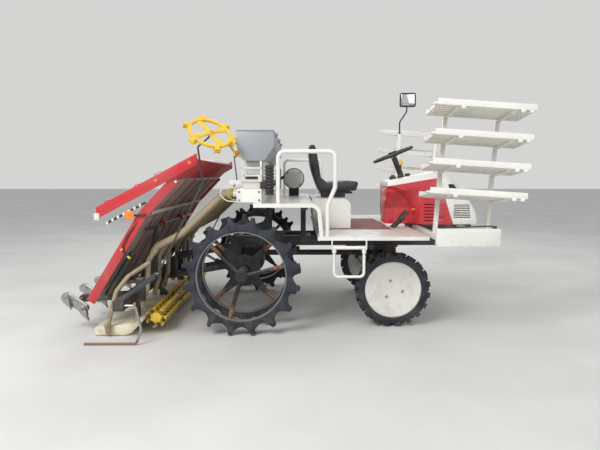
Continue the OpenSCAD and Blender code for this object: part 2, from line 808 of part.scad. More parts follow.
module lower_links() {
    color("dimgray") from_axle() difference() {
        union() {
            both_sides() link_bar(link_front, link_rear, link_w, -lower_link_y - link_t / 2,
                -lower_link_y + link_t / 2);
            cross_pin(link_front * 0.45 + link_rear * 0.55, 16, -lower_link_y, lower_link_y);
        }
        for (p = [link_front, link_rear]) cross_pin(p, link_pin_r + run_gap, -300, 300);
    }
}

module upper_link() {
    up = [0, link_gap];
    e = link_front + up + unit(link_rear - link_front) * cylinder_eye;
    color("dimgray") from_axle() difference() {
        union() {
            both_sides() link_bar(link_front + up, link_rear + up, link_w, -upper_link_y - link_t / 2,
                -upper_link_y + link_t / 2);
            cross_pin(e, 8, -upper_link_y, upper_link_y);
        }
        cross_pin(link_front + up, link_pin_r + run_gap, -300, 300);
        cross_pin(link_rear + up, link_pin_r + loose_pin_gap, -300, 300);
    }
}

// The lift cylinder stands on its foot pin and pushes the upper link's pin
lift_eye = link_front + [0, link_gap] + unit(link_rear - link_front) * cylinder_eye;
lift_dir = unit(lift_eye - cylinder_foot);
lift_len = norm(lift_eye - cylinder_foot);
barrel_l = 190;
module along_lift() {
    translate([cylinder_foot.x, 0, cylinder_foot.y]) rotate([0, atan2(lift_dir.x, lift_dir.y), 0]) children();
}

module lift_cylinder() {
    color("dimgray") from_axle() difference() {
        union() {
            along_lift() cylinder(h = barrel_l, r = cylinder_r);
            cross_pin(cylinder_foot, 26, -20, 20);
        }
        along_lift() translate([0, 0, 30]) cylinder(h = barrel_l, r = piston_rod_r + seat_gap);
        cross_pin(cylinder_foot, link_pin_r + run_gap, -30, 30);
    }
}

module lift_rod() {
    color("silver") from_axle() difference() {
        union() {
            along_lift() translate([0, 0, 36]) cylinder(h = lift_len - 50, r = piston_rod_r);
            cross_pin(lift_eye, 22, -14, 14);
        }
        cross_pin(lift_eye, 8 + loose_pin_gap, -20, 20);
    }
}

// Slide rails that carry the table, below its lower face
table_dir = unit(table_line[1] - table_line[0]);
table_down = [table_dir.y, -table_dir.x];
rail_offset = 40;
slide_r = 12;
low_slide = table_line[0] + table_dir * 70 + table_down * rail_offset;
high_slide = table_line[0] + table_dir * 600 + table_down * rail_offset;
slide_half_l = 2 * row_pitch + 25 + table_travel;

module planting_frame() {
    arm_y = [-lower_link_y + link_t, -lower_link_y + link_t * 2.5];
    up = link_rear + [0, link_gap];
    half = beam_w / 2;
    m = marker_pivot;
    color("dimgray") from_axle() difference() {
        union() {
            block(beam_x - half, beam_x + half, -guard_y - 20, guard_y + 20, beam_z - half, beam_z + half);
            for (y = case_y) {
                link_bar([beam_x, beam_z - 32], [-planting_x, planting_z], case_h, y - case_w / 2,
                    y + case_w / 2);
                block(low_slide.x - 10, low_slide.x + 10, y - 10, y + 10, planting_z + 10, low_slide.y);
            }
            for (p = [low_slide, high_slide]) cross_pin(p, slide_r, -slide_half_l, slide_half_l);
            both_sides() {
                side_plate([[beam_x - 20, beam_z], [beam_x + 30, beam_z], high_slide + [14, 0],
                    high_slide + [-6, 0]], -520, -490);
                link_bar([beam_x + 20, beam_z + 10], link_rear, link_w, arm_y.x, arm_y.y);
                side_plate([link_rear + [-40, 0], link_rear + [22, 0], up + [22, 0], up + [0, 22],
                    up + [-40, 0]], arm_y.x, arm_y.y);
                block(beam_x - 15, beam_x + 15, -float_y - 15, -float_y + 15, float_pad_top, beam_z);
                side_plate([[beam_x + 20, beam_z - 20], [beam_x + 20, beam_z + 20], [rotor_x, rotor_z + 26],
                    [rotor_x + 26, rotor_z], [rotor_x, rotor_z - 26]], -310, -290);
                side_plate([[beam_x - 20, beam_z + 30], [beam_x + 30, beam_z + 30], [m.x - 12, m.z - 30],
                    [m.x - 12, m.z + 14]],
                    m.y - 12, m.y + 12);
                rod([m.x - 20, m.y, m.z], [m.x + 20, m.y, m.z], 8);
            }
            block(beam_x - 15, beam_x + 15, -15, 15, float_pad_top, beam_z);
            for (p = [link_rear, up]) cross_pin(p, link_pin_r, -lower_link_y - link_t, lower_link_y + link_t);
        }
        cross_pin([-planting_x, planting_z], shaft_r + run_gap, -900, 900);
        cross_pin([rotor_x, rotor_z], rotor_shaft_r + run_gap, -400, 400);
    }
}

module drop_pipes() {
    color("gainsboro") from_axle() for (k = hose_rows) {
        y = k * row_pitch;
        bent_tube([[hose_end.x, y, hose_end.y] + seat_gap * pipe_start,
            [hose_end.x, y, hose_end.y] + 70 * pipe_start, [-700, y, 330], [-740, y, 200]], 20, 50);
    }
}

module floats() {
    form = rounded([[-1050, 6], [-800, 6], [-705, 110], [-705, 150], [-760, 92], [-1050, 60]],
        [10, 80, 10, 10, 60, 10]);
    color("wheat") from_axle()
        for (f = [[-float_y, float_half_w.x], [0, float_half_w.y], [float_y, float_half_w.x]]) {
        side_plate(form, f[0] - f[1], f[0] + f[1]);
        block(beam_x - 20, beam_x + 20, f[0] - 20, f[0] + 20, 60, float_pad_top);
    }
}

module end_guards() {
    color("silver") from_axle() both_sides()
        bent_tube([[-1042, -guard_y, guard_r], [-690, -guard_y, guard_r], [-655, -guard_y, 110],
            [-690, -guard_y, beam_z], [beam_x + beam_w / 2, -guard_y, beam_z]], guard_r, 28);
}

// The rotary case of two rows: its arms pivot this far from the shaft, and their claws point this way
case_r = 75;
case_turn = 35;
claw_dir = unit([45, -82]);
pivot = case_r * [cos(case_turn), -sin(case_turn)];
claw_l = sqrt((pivot * claw_dir) ^ 2 - case_r ^ 2 + claw_reach ^ 2) - pivot * claw_dir;
arm_t = 30;

// A planting arm with its fork, push rod and pusher, drawn from its pivot
module planting_arm(p, y0) {
    u = claw_dir;
    n = left(u);
    side_plate(rounded([for (q = [[-22, -20], [-22, 18], [22, 24], [62, 10], [62, -10], [22, -22]])
        p + q.x * u + q.y * n],
        [14, 14, 12, 3, 3, 12]), y0, y0 + arm_t);
    for (e = [4, arm_t - 8])
        side_plate([for (q = [[50, -8], [50, 8], [claw_l, 2], [claw_l, -3]]) p + q.x * u + q.y * n], y0 + e,
            y0 + e + 4);
    a = p + 56 * u;
    b = p + 84 * u;
    rod([a.x, y0 + arm_t / 2, a.y], [b.x, y0 + arm_t / 2, b.y], 4);
    side_plate([for (q = [[80, -7], [80, 7], [85, 7], [85, -7]]) p + q.x * u + q.y * n], y0 + 8.5,
        y0 + arm_t - 8.5);
}

module planting_rotors() {
    c = [-planting_x, planting_z];
    color("silver") from_axle() for (y = case_y) {
        cross_pin(c, shaft_r, y - 170, y + 170);
        for (s = [-1, 1]) {
            ym = y + s * row_pitch / 2;
            link_bar(c - pivot, c + pivot, 64, ym - 18, ym + 18);
            for (t = [-1, 0, 1]) cross_pin(c + t * pivot, 27, ym - 21, ym + 21);
            for (t = [-1, 1]) planting_arm(c + t * pivot, s > 0 ? ym + 17.5 : ym - 17.5 - arm_t);
        }
    }
}

module levelling_rotor() {
    color("gold") from_axle() {
        cross_pin([rotor_x, rotor_z], rotor_shaft_r, -830, 830);
        for (y = [[-830, -325], [-275, 275], [325, 830]]) {
            translate([rotor_x, y[1], rotor_z]) rotate([90, 0, 0]) linear_extrude(y[1] - y[0])
                polygon([for (k = [0:6], t = rotor_tooth)
                    t.x * rotor_r * [cos(k * 360 / 7 + t.y), sin(k * 360 / 7 + t.y)]]);
        }
    }
}

module table_panel() {
    color("gray") from_axle() for (k = hose_rows)
        side_plate(band(table_line, -table_t / 2, table_t / 2),
            k == hose_rows[0] ? -lane_edge : (k - 0.5) * row_pitch + divider_t / 2,
            k == hose_rows[5] ? lane_edge : (k + 0.5) * row_pitch - divider_t / 2);
}

// A divider between two lanes, a little deeper than the panels
module lane_divider(y0) {
    side_plate(band(table_line, -table_t / 2 - 3, table_t / 2 + 20), y0, y0 + divider_t);
}

// Dividers, the sheet above the lanes, and the end plates with their bumper bars
module table_ends() {
    hook = [[-30, -14], [24, -14], [24, 22], [-60, 60]];
    sheet_w = table_half_w - 1 - seat_gap;
    color("crimson") from_axle() {
        for (k = [-2:2]) lane_divider(k * row_pitch - divider_t / 2);
        side_plate(band(extension_line, -table_t / 2, table_t / 2), -sheet_w, sheet_w);
        both_sides() {
            side_plate(band(table_line, -end_plate_w / 2, end_plate_w / 2), -table_half_w,
                -table_half_w + end_plate_t);
            lane_divider(-lane_edge - divider_t);
            for (p = [table_line[0] + 90 * table_dir, table_line[0] + 520 * table_dir,
                table_line[2] - 60 * table_dir])
                block(p.x - 10, p.x + 10, -table_half_w + 1, -lane_edge - 1, p.y - 8, p.y + 8);
            side_plate([[-973, 844], [-470, 1110], [-282, 1216], [-282, 1290], [-505, 1170], [-973, 924]],
                -table_half_w - 14, -table_half_w + 1);
        }
        for (y = [-row_pitch, row_pitch]) difference() {
            for (p = [low_slide, high_slide]) side_plate([for (q = hook) p + q], y - 25, y + 25);
            for (p = [low_slide, high_slide]) cross_pin(p, slide_r + seat_gap, -400, 400);
            side_plate(band(table_line, -table_t / 2, table_t / 2 + 80), -400, 400);
        }
    }
}

module marker_arm(s) {
    n = unit(marker_axis);
    p = marker_pivot;
    h = marker_hub;
    color("black") from_axle() on_side(s) difference() {
        union() {
            rod([p.x - 10, p.y, p.z], [p.x + 18, p.y, p.z], 16);
            bent_tube([[p.x + 4, p.y, p.z], [h.x - 60, p.y, h.z - 330], [h.x - 88, p.y, h.z - 90],
                h - n * 40, h + n * 22], 6, 12);
        }
        rod([p.x - 30, p.y, p.z], [p.x + 30, p.y, p.z], 8 + run_gap);
    }
}

module marker_arm_right() { marker_arm(-1); }
module marker_arm_left() { marker_arm(1); }

module marker_wheel(s) {
    n = unit(marker_axis);
    r = marker_r;
    color("gold") from_axle() on_side(s) translate(marker_hub) rotate([0, acos(n.z), atan2(n.y, n.x)])
        difference() {
        union() {
            rotate_extrude() translate([r - 22, -8]) square([22, 16]);
            translate([0, 0, -12]) cylinder(h = 24, r = 24);
            for (a = [0:90:270]) rotate(a + 20) translate([0, -10, -6]) cube([r - 10, 20, 12]);
            for (a = [0:60:300]) rotate(a) translate([0, 0, -24]) linear_extrude(34)
                polygon([[r - 6, -18], [r + 8, -11], [r + 28, -22], [r + 28, 22], [r + 8, 11], [r - 6, 18]]);
        }
        translate([0, 0, -30]) cylinder(h = 60, r = 6 + run_gap);
    }
}

module marker_wheel_right() { marker_wheel(-1); }
module marker_wheel_left() { marker_wheel(1); }

tie_arm = 140;
tie_z = 352;

module tie_rod() {
    x = front_x - tie_arm;
    y = king_pin_y;
    color("dimgray") from_axle() difference() {
        union() {
            rod([x, -y + 10, tie_z], [x, y - 10, tie_z], 9);
            for (s = [-1, 1]) translate([x, s * y, tie_z - 10]) cylinder(h = 20, r = 18);
        }
        for (s = [-1, 1]) translate([x, s * y, tie_z - 20]) cylinder(h = 40, r = 8 + (s > 0 ? run_gap : 0.5));
    }
}

module knuckle(s) {
    color("dimgray") from_axle() on_side(s) {
        translate([front_x, -king_pin_y, 0]) {
            translate([0, 0, 225]) cylinder(h = 174, r = 46);
            translate([0, 0, 390]) cylinder(h = 150, r = 22);
            block(-tie_arm - 16, -20, -16, 16, tie_z + 12, tie_z + 26);
            translate([-tie_arm, 0, tie_z - 14]) cylinder(h = 30, r = 8);
        }
        rod([front_x, -king_pin_y, front_z], [front_x, -front_tyre_y + 48, front_z], 38);
        rod([front_x, -king_pin_y, front_z], [front_x, -front_tyre_y - 20, front_z], 20);
    }
}

module knuckle_right() { knuckle(-1); }
module knuckle_left() { knuckle(1); }

rim_r = front_disc_d / 2;

module front_rim(s) {
    h = front_tyre_w;
    y = front_tyre_y + h / 2 - 12;
    color("white") from_axle() on_side(s) at_wheel(front_x, front_z) difference() {
        union() {
            rotate_extrude() polygon([[0, y], [rim_r, y], [rim_r, y + 3], [rim_r - 7, y + 10],
                [rim_r - 16, y + 10], [rim_r - 24, y + 6], [0, y + 6]]);
            translate([0, 0, front_tyre_y - 46]) cylinder(h = h / 2 + 36, r = 42);
            rotate_extrude() translate([rim_r - 8, front_tyre_y - h / 2 + 6]) square([8, h - 12]);
        }
        translate([0, 0, front_tyre_y - 60]) cylinder(h = 60 + 20 + 6, r = 20 + run_gap);
    }
}

module front_rim_right() { front_rim(-1); }
module front_rim_left() { front_rim(1); }

module front_tyre(s) {
    h = front_tyre_w;
    lug_h = 18;
    lug_l = 2 * PI * front_r / front_lugs * 0.42;
    tread_r = front_r - lug_h;
    color("black") from_axle() on_side(s) at_wheel(front_x, front_z) {
        rotate_extrude() translate([0, front_tyre_y])
            polygon(rounded([[rim_r, -h / 2 + 4], [tread_r, -h / 2 + 4],
            [tread_r, h / 2 - 4], [rim_r, h / 2 - 4]], [0, 14, 14, 0], 2));
        for (t = [0, 1], k = [0:front_lugs - 1]) rotate((k + t / 2) * 360 / front_lugs)
            translate([tread_r - 10, -lug_l / 2, front_tyre_y + (t == 0 ? -h / 2 : 2)])
                cube([lug_h + 10, lug_l, h / 2 - 2]);
    }
}

module front_tyre_right() { front_tyre(-1); }
module front_tyre_left() { front_tyre(1); }

rear_band_r = rear_r - 103;

module rear_hub(s) {
    gusset_r = rear_band_r - 96;
    rod_r = 15;
    color("dimgray") from_axle() on_side(s) at_wheel(0, rear_z) difference() {
        union() {
            translate([0, 0, 503]) cylinder(h = 372, r = 46);
            translate([0, 0, rear_ring_y - 8]) cylinder(h = 16, r = 118);
            for (y = [rear_ring_y, outer_ring_y]) translate([0, 0, y - 20]) difference() {
                cylinder(h = 40, r = rear_band_r);
                translate([0, 0, -1]) cylinder(h = 42, r = rear_band_r - 8);
            }
            for (a = [45:90:315]) rotate(a) {
                translate([0, 0, rear_ring_y - 6]) linear_extrude(12)
                    polygon([[96, -40], [96, 40], [gusset_r, 18], [gusset_r, -18]]);
                translate([gusset_r - 30, 0, rear_ring_y]) rotate([0, 90, 0]) cylinder(h = 122, r = rod_r);
            }
            for (a = [14, 134, 254]) rotate(a)
                translate([20, 0, outer_ring_y]) rotate([0, 90, 0]) cylinder(h = rear_band_r - 24, r = rod_r);
        }
        translate([0, 0, 500]) cylinder(h = 202, r = 22 + run_gap);
    }
}

module rear_hub_right() { rear_hub(-1); }
module rear_hub_left() { rear_hub(1); }

module rear_tyre(s) {
    b = rear_band_r;
    lug = [[b + 8, -42], [b + 30, -42], [rear_r, -14], [rear_r, 10], [b + 30, 16], [b + 8, 16]];
    color("black") from_axle() on_side(s) at_wheel(0, rear_z)
        for (row = [[rear_ring_y, rear_lug_w, 0], [outer_ring_y, outer_lug_w, 0.5]]) {
            rotate_extrude() translate([b, row[0] - 22]) square([30, 44]);
            for (k = [0:rear_lugs - 1]) rotate((k + row[2]) * 360 / rear_lugs - 90)
                translate([0, 0, row[0] - row[1] / 2]) linear_extrude(row[1]) polygon(lug);
        }
}

module rear_tyre_right() { rear_tyre(-1); }
module rear_tyre_left() { rear_tyre(1); }

main_frame();
floor_carriers();
engine_block();
front_axle();
rear_axle();
step_floor();
floor_mat();
rear_deck();
seat_pan();
seat_pad();
hood_body();
dash_panel();
front_cowl();
headlamps();
controls();
steering_wheel();
side_bumpers();
handrails();
ladder_right();
ladder_left();
rack_frames();
rack_shelves();
side_mirror();
hopper();
hopper_lid();
metering_unit();
applicator_stand();
blower();
hoses();
lower_links();
upper_link();
lift_cylinder();
lift_rod();
planting_frame();
drop_pipes();
floats();
end_guards();
planting_rotors();
levelling_rotor();
table_panel();
table_ends();
marker_arm_right();
marker_arm_left();
marker_wheel_right();
marker_wheel_left();
tie_rod();
knuckle_right();
knuckle_left();
front_rim_right();
front_rim_left();
front_tyre_right();
front_tyre_left();
rear_hub_right();
rear_hub_left();
rear_tyre_right();
rear_tyre_left();
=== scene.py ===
# Rice transplanter: finishes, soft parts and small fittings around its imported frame
import bmesh
import bpy
import json
import math
from mathutils import Matrix, Vector

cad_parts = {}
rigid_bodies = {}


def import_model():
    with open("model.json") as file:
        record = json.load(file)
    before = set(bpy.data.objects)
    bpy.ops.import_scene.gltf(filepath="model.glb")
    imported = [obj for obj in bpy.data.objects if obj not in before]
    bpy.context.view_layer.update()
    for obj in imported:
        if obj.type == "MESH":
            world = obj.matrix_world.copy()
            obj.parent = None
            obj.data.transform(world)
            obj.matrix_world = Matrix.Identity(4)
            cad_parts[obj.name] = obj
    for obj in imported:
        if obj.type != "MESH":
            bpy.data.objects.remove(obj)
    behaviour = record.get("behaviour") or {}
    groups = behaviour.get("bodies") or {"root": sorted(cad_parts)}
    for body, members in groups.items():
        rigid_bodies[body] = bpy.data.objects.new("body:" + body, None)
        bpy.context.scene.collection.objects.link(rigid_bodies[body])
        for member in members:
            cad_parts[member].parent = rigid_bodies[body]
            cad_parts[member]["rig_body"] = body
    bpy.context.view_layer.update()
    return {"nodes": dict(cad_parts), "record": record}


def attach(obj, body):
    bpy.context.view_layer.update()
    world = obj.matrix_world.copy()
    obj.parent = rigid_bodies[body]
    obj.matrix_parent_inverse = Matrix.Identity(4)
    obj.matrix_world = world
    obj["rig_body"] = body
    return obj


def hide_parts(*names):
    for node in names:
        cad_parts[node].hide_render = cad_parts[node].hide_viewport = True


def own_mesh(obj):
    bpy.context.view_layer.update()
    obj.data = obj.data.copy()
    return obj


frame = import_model()
nodes = frame["nodes"]
slotOf = {part["node"]: part["material_slot"] for part in frame["record"]["subparts"]}
print("frame loaded with", len(nodes), "nodes")

# mm ahead of the rear axle, to the left of the middle and up from the ground
axleBack = 311  # from the rear axle forward to the middle of the machine
frontAxle = (1120, 0, 282.5)
rearAxle = (0, 0, 425)
rows = (-750, -450, -150, 150, 450, 750)
sides = {"right": -1, "left": 1}


class Wire:
    # One output socket; sums on it add Math nodes
    def __init__(self, finish, socket):
        self.finish = finish
        self.socket = socket

    def __add__(self, other):
        return self.finish.maths("ADD", self, other)

    def __radd__(self, other):
        return self.finish.maths("ADD", other, self)

    def __sub__(self, other):
        return self.finish.maths("SUBTRACT", self, other)

    def __rsub__(self, other):
        return self.finish.maths("SUBTRACT", other, self)

    def __mul__(self, other):
        return self.finish.maths("MULTIPLY", self, other)

    def __rmul__(self, other):
        return self.finish.maths("MULTIPLY", other, self)

    def __truediv__(self, other):
        return self.finish.maths("DIVIDE", self, other)

    def __gt__(self, other):
        return self.finish.maths("GREATER_THAN", self, other)

    def __lt__(self, other):
        return self.finish.maths("LESS_THAN", self, other)


soil = {"dust": (0.36, 0.31, 0.24, 1), "mud": (0.23, 0.17, 0.11, 1), "stain": (0.42, 0.33, 0.2, 1)}


class Finish:
    # One material on the Principled shader
    def __init__(self, name, constants):
        self.material = bpy.data.materials.new(name)
        self.material.use_nodes = True
        self.tree = self.material.node_tree
        self.shader = self.tree.nodes["Principled BSDF"]
        for socket, value in constants.items():
            self.shader.inputs[socket].default_value = value
        self.place = self.node("ShaderNodeTexCoord", output="Object")
        self.x, self.y, self.z = self.split(self.place)
        self.up = self.split(self.node("ShaderNodeNewGeometry", output="Normal"))[2]

    def node(self, kind, settings=None, sockets=None, output=0):
        made = self.tree.nodes.new(kind)
        for key, value in (settings or {}).items():
            setattr(made, key, value)
        for key, value in (sockets or {}).items():
            if isinstance(value, Wire):
                self.tree.links.new(value.socket, made.inputs[key])
            else:
                made.inputs[key].default_value = value
        return Wire(self, made.outputs[output])

    def maths(self, operation, first, second=0.0):
        return self.node("ShaderNodeMath", {"operation": operation}, {0: first, 1: second})

    def split(self, vector):
        parts = self.node("ShaderNodeSeparateXYZ", sockets={0: vector}).socket.node
        return [Wire(self, socket) for socket in parts.outputs]

    def noise(self, scale, detail=3.0, stretch=(1, 1, 1)):
        where = self.node("ShaderNodeMapping", {}, {"Vector": self.place, "Scale": stretch})
        return self.node("ShaderNodeTexNoise", {}, {"Vector": where, "Scale": scale, "Detail": detail})

    def between(self, value, low, high, first=0.0, last=1.0):
        return self.node("ShaderNodeMapRange", {"interpolation_type": "SMOOTHSTEP"},
                         {"Value": value, "From Min": low, "From Max": high, "To Min": first, "To Max": last})

    def spread(self, noise, first=0.0, last=1.0):
        # the middle of a noise, where nearly all of it lies
        return self.between(noise, 0.3, 0.7, first, last)

    def tint(self, share, first, second):
        return self.node("ShaderNodeMix", {"data_type": "RGBA"}, {0: share, 6: first, 7: second}, 2)

    def bump(self, height, strength, distance=0.001):
        return self.node("ShaderNodeBump", {}, {"Height": height, "Strength": strength, "Distance": distance})

    def within(self, value, period):
        # 0 midway between evenly spaced lines, 1 on them
        return self.maths("ABSOLUTE", self.maths("FRACT", value / period) * 2.0 - 1.0)

    def reach(self, a, b):
        return self.maths("SQRT", a * a + b * b)

    def grime(self, colour, look):
        # dust on what faces up, dried mud on what is near the ground
        upper = self.between(self.up, 0.2, 1.0) * self.between(self.noise(11, 6), 0.3, 0.75)
        dust = upper * look.get("dust", 0.3)
        low = self.between(self.z, look.get("mudTop", 0.6), 0.0)
        mud = self.between(self.noise(16, 8) + low * 0.22, 0.6, 0.78) * look.get("mud", 0.3)
        return self.tint(mud, self.tint(dust, colour, soil["dust"]), soil["mud"]), dust + mud

    def done(self, wires):
        for name, wire in wires.items():
            self.tree.links.new(wire.socket, self.shader.inputs[name])
        return self.material


def shade(colour, by, plus=0.0):
    return tuple(c * by + plus for c in colour[:3]) + (1,)


def painted(name, look):
    # sprayed metal or moulded plastic: faded patches, fine chips, orange peel
    finish = Finish(name, {"IOR": 1.48, "Coat Roughness": 0.12})
    tone = finish.tint(finish.spread(finish.noise(3.1)), look["colour"], shade(look["colour"], 0.86, 0.03))
    stain = finish.between(finish.noise(7, 5, (1, 1, 0.25)), 0.55, 0.8) * look.get("stain", 0.25)
    chips = finish.noise(85, 9) > look.get("chips", 0.72)
    tone = finish.tint(chips, finish.tint(stain, tone, soil["stain"]), look.get("under", (0.2, 0.11, 0.06, 1)))
    tone, dirt = finish.grime(tone, look)
    rough = finish.spread(finish.noise(26, 4), look["rough"] - 0.06, look["rough"] + 0.1) + dirt * 0.4
    height = finish.noise(look.get("grain", 240), 2) * look.get("grainShare", 0.25) - chips * 0.7
    if "slots" in look:
        # rows of narrow slots round a shaft that lies across the machine, painted near black as the shade inside
        # them and sunk by the bump
        slots = look["slots"]
        reach = finish.reach(finish.x - slots["x"], finish.z - slots["z"])
        ring = (reach > slots["inner"]) * (reach < slots["outer"])
        slot = (finish.within(finish.y, slots["pitch"]) > slots["bar"]) * ring
        # painted shade: the slots are coloured near black for the shadow inside them
        tone = finish.tint(slot * 0.85, tone, (0.06, 0.04, 0.01, 1))
        height = height - slot * 2.0
    if "tread" in look:
        # raised lozenges on the flat upper faces
        across = (finish.within(finish.x + finish.y, look["tread"])
                  + finish.within(finish.x - finish.y, look["tread"]))
        lozenge = finish.between(across, 1.15, 1.35) * (finish.up > 0.95)
        tone = finish.tint(lozenge * 0.12, tone, (0.35, 0.3, 0.24, 1))
        height = height + lozenge * 2.2
    return finish.done({"Base Color": tone, "Roughness": rough,
                        "Coat Weight": look.get("coat", 0.3) * (1.0 - chips),
                        "Normal": finish.bump(height, 0.35, 0.0012)})


def metal(name, look):
    # bare or cast metal with rust in patches
    finish = Finish(name, {"IOR": 1.5})
    grain = finish.noise(look.get("grain", 130), 6)
    tone = finish.tint(finish.spread(grain), look["colour"], shade(look["colour"], 0.7))
    rustFrom = look.get("rustFrom", 0.56)
    rust = finish.between(finish.noise(22, 9), rustFrom, rustFrom + 0.09)
    if "rustBand" in look:
        # rust between two distances from a wheel's axle, bare steel further out
        band = look["rustBand"]
        reach = finish.reach(finish.x - band["x"], finish.z - band["z"])
        ring = (finish.between(reach, band["inner"], band["inner"] + 0.05)
                * finish.between(reach, band["outer"], band["outer"] - 0.01))
        flakes = finish.between(finish.noise(60, 6), 0.35, 0.55)
        rust = finish.maths("MAXIMUM", rust * 0.25, ring * flakes)
        tone = finish.tint((reach > band["bare"]) * 0.7, tone, (0.3, 0.3, 0.31, 1))
    if "rustLow" in look:
        low = finish.between(finish.z, look["rustLow"] + 0.02, look["rustLow"])
        rust = finish.maths("MAXIMUM", rust, low * 0.85)
    tone, dirt = finish.grime(finish.tint(rust, tone, look.get("rust", (0.24, 0.09, 0.04, 1))), look)
    rough = finish.spread(grain, look["rough"] - 0.08, look["rough"] + 0.12) + rust * 0.35 + dirt * 0.3
    clean = (1.0 - rust) * (1.0 - finish.maths("MINIMUM", dirt, 1.0))
    height = grain * 0.4 + rust * finish.noise(300, 4) * 1.5
    return finish.done({"Base Color": tone, "Roughness": rough, "Metallic": look["metal"] * clean,
                        "Normal": finish.bump(height, look.get("bump", 0.4))})


def rubbery(name, look):
    # tyres, mat and vinyl
    finish = Finish(name, {"IOR": 1.5})
    fine = finish.noise(420, 4)
    tone = finish.tint(finish.spread(finish.noise(8, 5)), look["colour"], shade(look["colour"], 1.5, 0.01))
    height = fine * 0.5
    if "rings" in look:
        u, v = (finish.within(axis, look["rings"]) for axis in (finish.x, finish.y))
        mark = finish.between(finish.maths("ABSOLUTE", finish.reach(u, v) - 0.62), 0.16, 0.05)
        tone = finish.tint(mark * 0.35, tone, (0.34, 0.17, 0.15, 1))
        height = height + mark * 3.0
    if "creases" in look:
        cells = finish.node("ShaderNodeTexVoronoi", {"feature": "DISTANCE_TO_EDGE"},
                            {"Vector": finish.place, "Scale": look["creases"]})
        height = height + finish.between(cells, 0.0, 0.12) * 0.9
    tone, dirt = finish.grime(tone, look)
    rough = finish.spread(fine, look["rough"] - 0.08, look["rough"] + 0.1) + dirt * 0.3
    return finish.done({"Base Color": tone, "Roughness": rough,
                        "Normal": finish.bump(height, look.get("bump", 0.4))})


def glassy(name, look):
    # lamp or mirror with dried smears, and fine upright rays where asked
    finish = Finish(name, {"IOR": 1.5, "Metallic": look["metal"], "Transmission Weight": look["through"]})
    smear = finish.between(finish.noise(19, 6, (1, 1, 0.4)), 0.45, 0.75)
    return finish.done({"Base Color": finish.tint(smear, look["colour"], shade(look["colour"], 0.8)),
                        "Roughness": 0.03 + smear * 0.2,
                        "Normal": finish.bump(finish.within(finish.y, 0.006), look["rays"])})


def ribbed(name, look):
    # hose whose ribs follow the piece's own line, the grooves between them painted darker as shade
    finish = Finish(name, {"IOR": 1.47})
    along = finish.node("ShaderNodeAttribute", {"attribute_name": "along"}, output="Fac")
    ribs = finish.between(finish.within(along, look["pitch"]), 0.3, 0.8)
    # painted shade: the grooves take the darker colour, the ribs the hose's own
    tone, dirt = finish.grime(finish.tint(ribs, look["groove"], look["colour"]), look)
    return finish.done({"Base Color": tone, "Roughness": 0.5 + dirt * 0.3,
                        "Normal": finish.bump(ribs + finish.noise(200, 3) * 0.2, 0.5, 0.002)})


# colours are linear; chips nearer to 1 are rarer, mud is dried up to mudTop in metres
paints = {
    "white_paint": {"colour": (0.84, 0.83, 0.77, 1), "rough": 0.32, "coat": 0.35, "dust": 0.2,
                    "mud": 0.15, "stain": 0.16},
    "red_paint": {"colour": (0.56, 0.022, 0.03, 1), "rough": 0.34, "coat": 0.4, "chips": 0.69,
                  "dust": 0.35, "under": (0.3, 0.2, 0.15, 1)},
    "hood_red": {"colour": (0.6, 0.02, 0.032, 1), "rough": 0.24, "coat": 0.6, "chips": 0.75,
                 "dust": 0.25, "stain": 0.1},
    "hood_white": {"colour": (0.84, 0.835, 0.79, 1), "rough": 0.26, "coat": 0.5, "chips": 0.76,
                   "dust": 0.25, "stain": 0.12},
    "dark_frame": {"colour": (0.022, 0.024, 0.028, 1), "rough": 0.42, "coat": 0.2, "chips": 0.68,
                   "mud": 0.35},
    "black_plastic": {"colour": (0.016, 0.016, 0.017, 1), "rough": 0.45, "coat": 0.0, "chips": 0.9,
                      "dust": 0.35, "grain": 500, "grainShare": 0.6},
    "grey_plastic": {"colour": (0.33, 0.35, 0.38, 1), "rough": 0.38, "coat": 0.1, "chips": 0.8,
                     "dust": 0.25, "grain": 380, "grainShare": 0.4},
    "lid_plastic": {"colour": (0.25, 0.27, 0.3, 1), "rough": 0.42, "coat": 0.1, "chips": 0.8,
                    "dust": 0.5, "grain": 380, "grainShare": 0.4},
    "white_plastic": {"colour": (0.74, 0.73, 0.67, 1), "rough": 0.4, "coat": 0.1, "chips": 0.77,
                      "stain": 0.4},
    "pipe_clear": {"colour": (0.42, 0.34, 0.22, 1), "rough": 0.3, "chips": 0.9, "dust": 0.2,
                   "mud": 0.8, "mudTop": 0.7},
    "float_cream": {"colour": (0.82, 0.74, 0.54, 1), "rough": 0.42, "coat": 0.1, "chips": 0.74,
                    "dust": 0.25, "mud": 0.4, "mudTop": 0.1, "under": (0.4, 0.33, 0.2, 1)},
    "table_grey": {"colour": (0.36, 0.34, 0.31, 1), "rough": 0.4, "coat": 0.1, "chips": 0.78,
                   "dust": 0.6, "stain": 0.5},
    "yellow_plastic": {"colour": (0.83, 0.55, 0.02, 1), "rough": 0.4, "coat": 0.15, "chips": 0.76,
                       "dust": 0.25, "mud": 0.7, "mudTop": 0.35, "under": (0.4, 0.26, 0.05, 1)},
    "mirror_shell": {"colour": (0.016, 0.016, 0.016, 1), "rough": 0.4, "coat": 0.1, "chips": 0.9,
                     "grain": 500},
    "amber": {"colour": (0.85, 0.22, 0.01, 1), "rough": 0.18, "coat": 0.8, "chips": 0.95, "grain": 90,
              "grainShare": 1.6},
}
# where the levelling rotor's slots are painted dark as their shade: distances from its shaft and spacing along it
# in metres
rotorSlots = {"x": -0.622 - axleBack / 1000, "z": 0.122, "inner": 0.04, "outer": 0.064,
              "pitch": 0.085, "bar": 0.45}
paints.update({
    "floorPaint": {**paints["white_paint"], "tread": 0.045, "dust": 0.5},
    "rotorPlastic": {**paints["yellow_plastic"], "slots": rotorSlots, "mud": 0.35},
    "cableWhite": {**paints["white_plastic"], "chips": 0.95, "grain": 60},
    "cableLime": {**paints["yellow_plastic"], "colour": (0.5, 0.6, 0.03, 1), "chips": 0.95, "grain": 60},
})
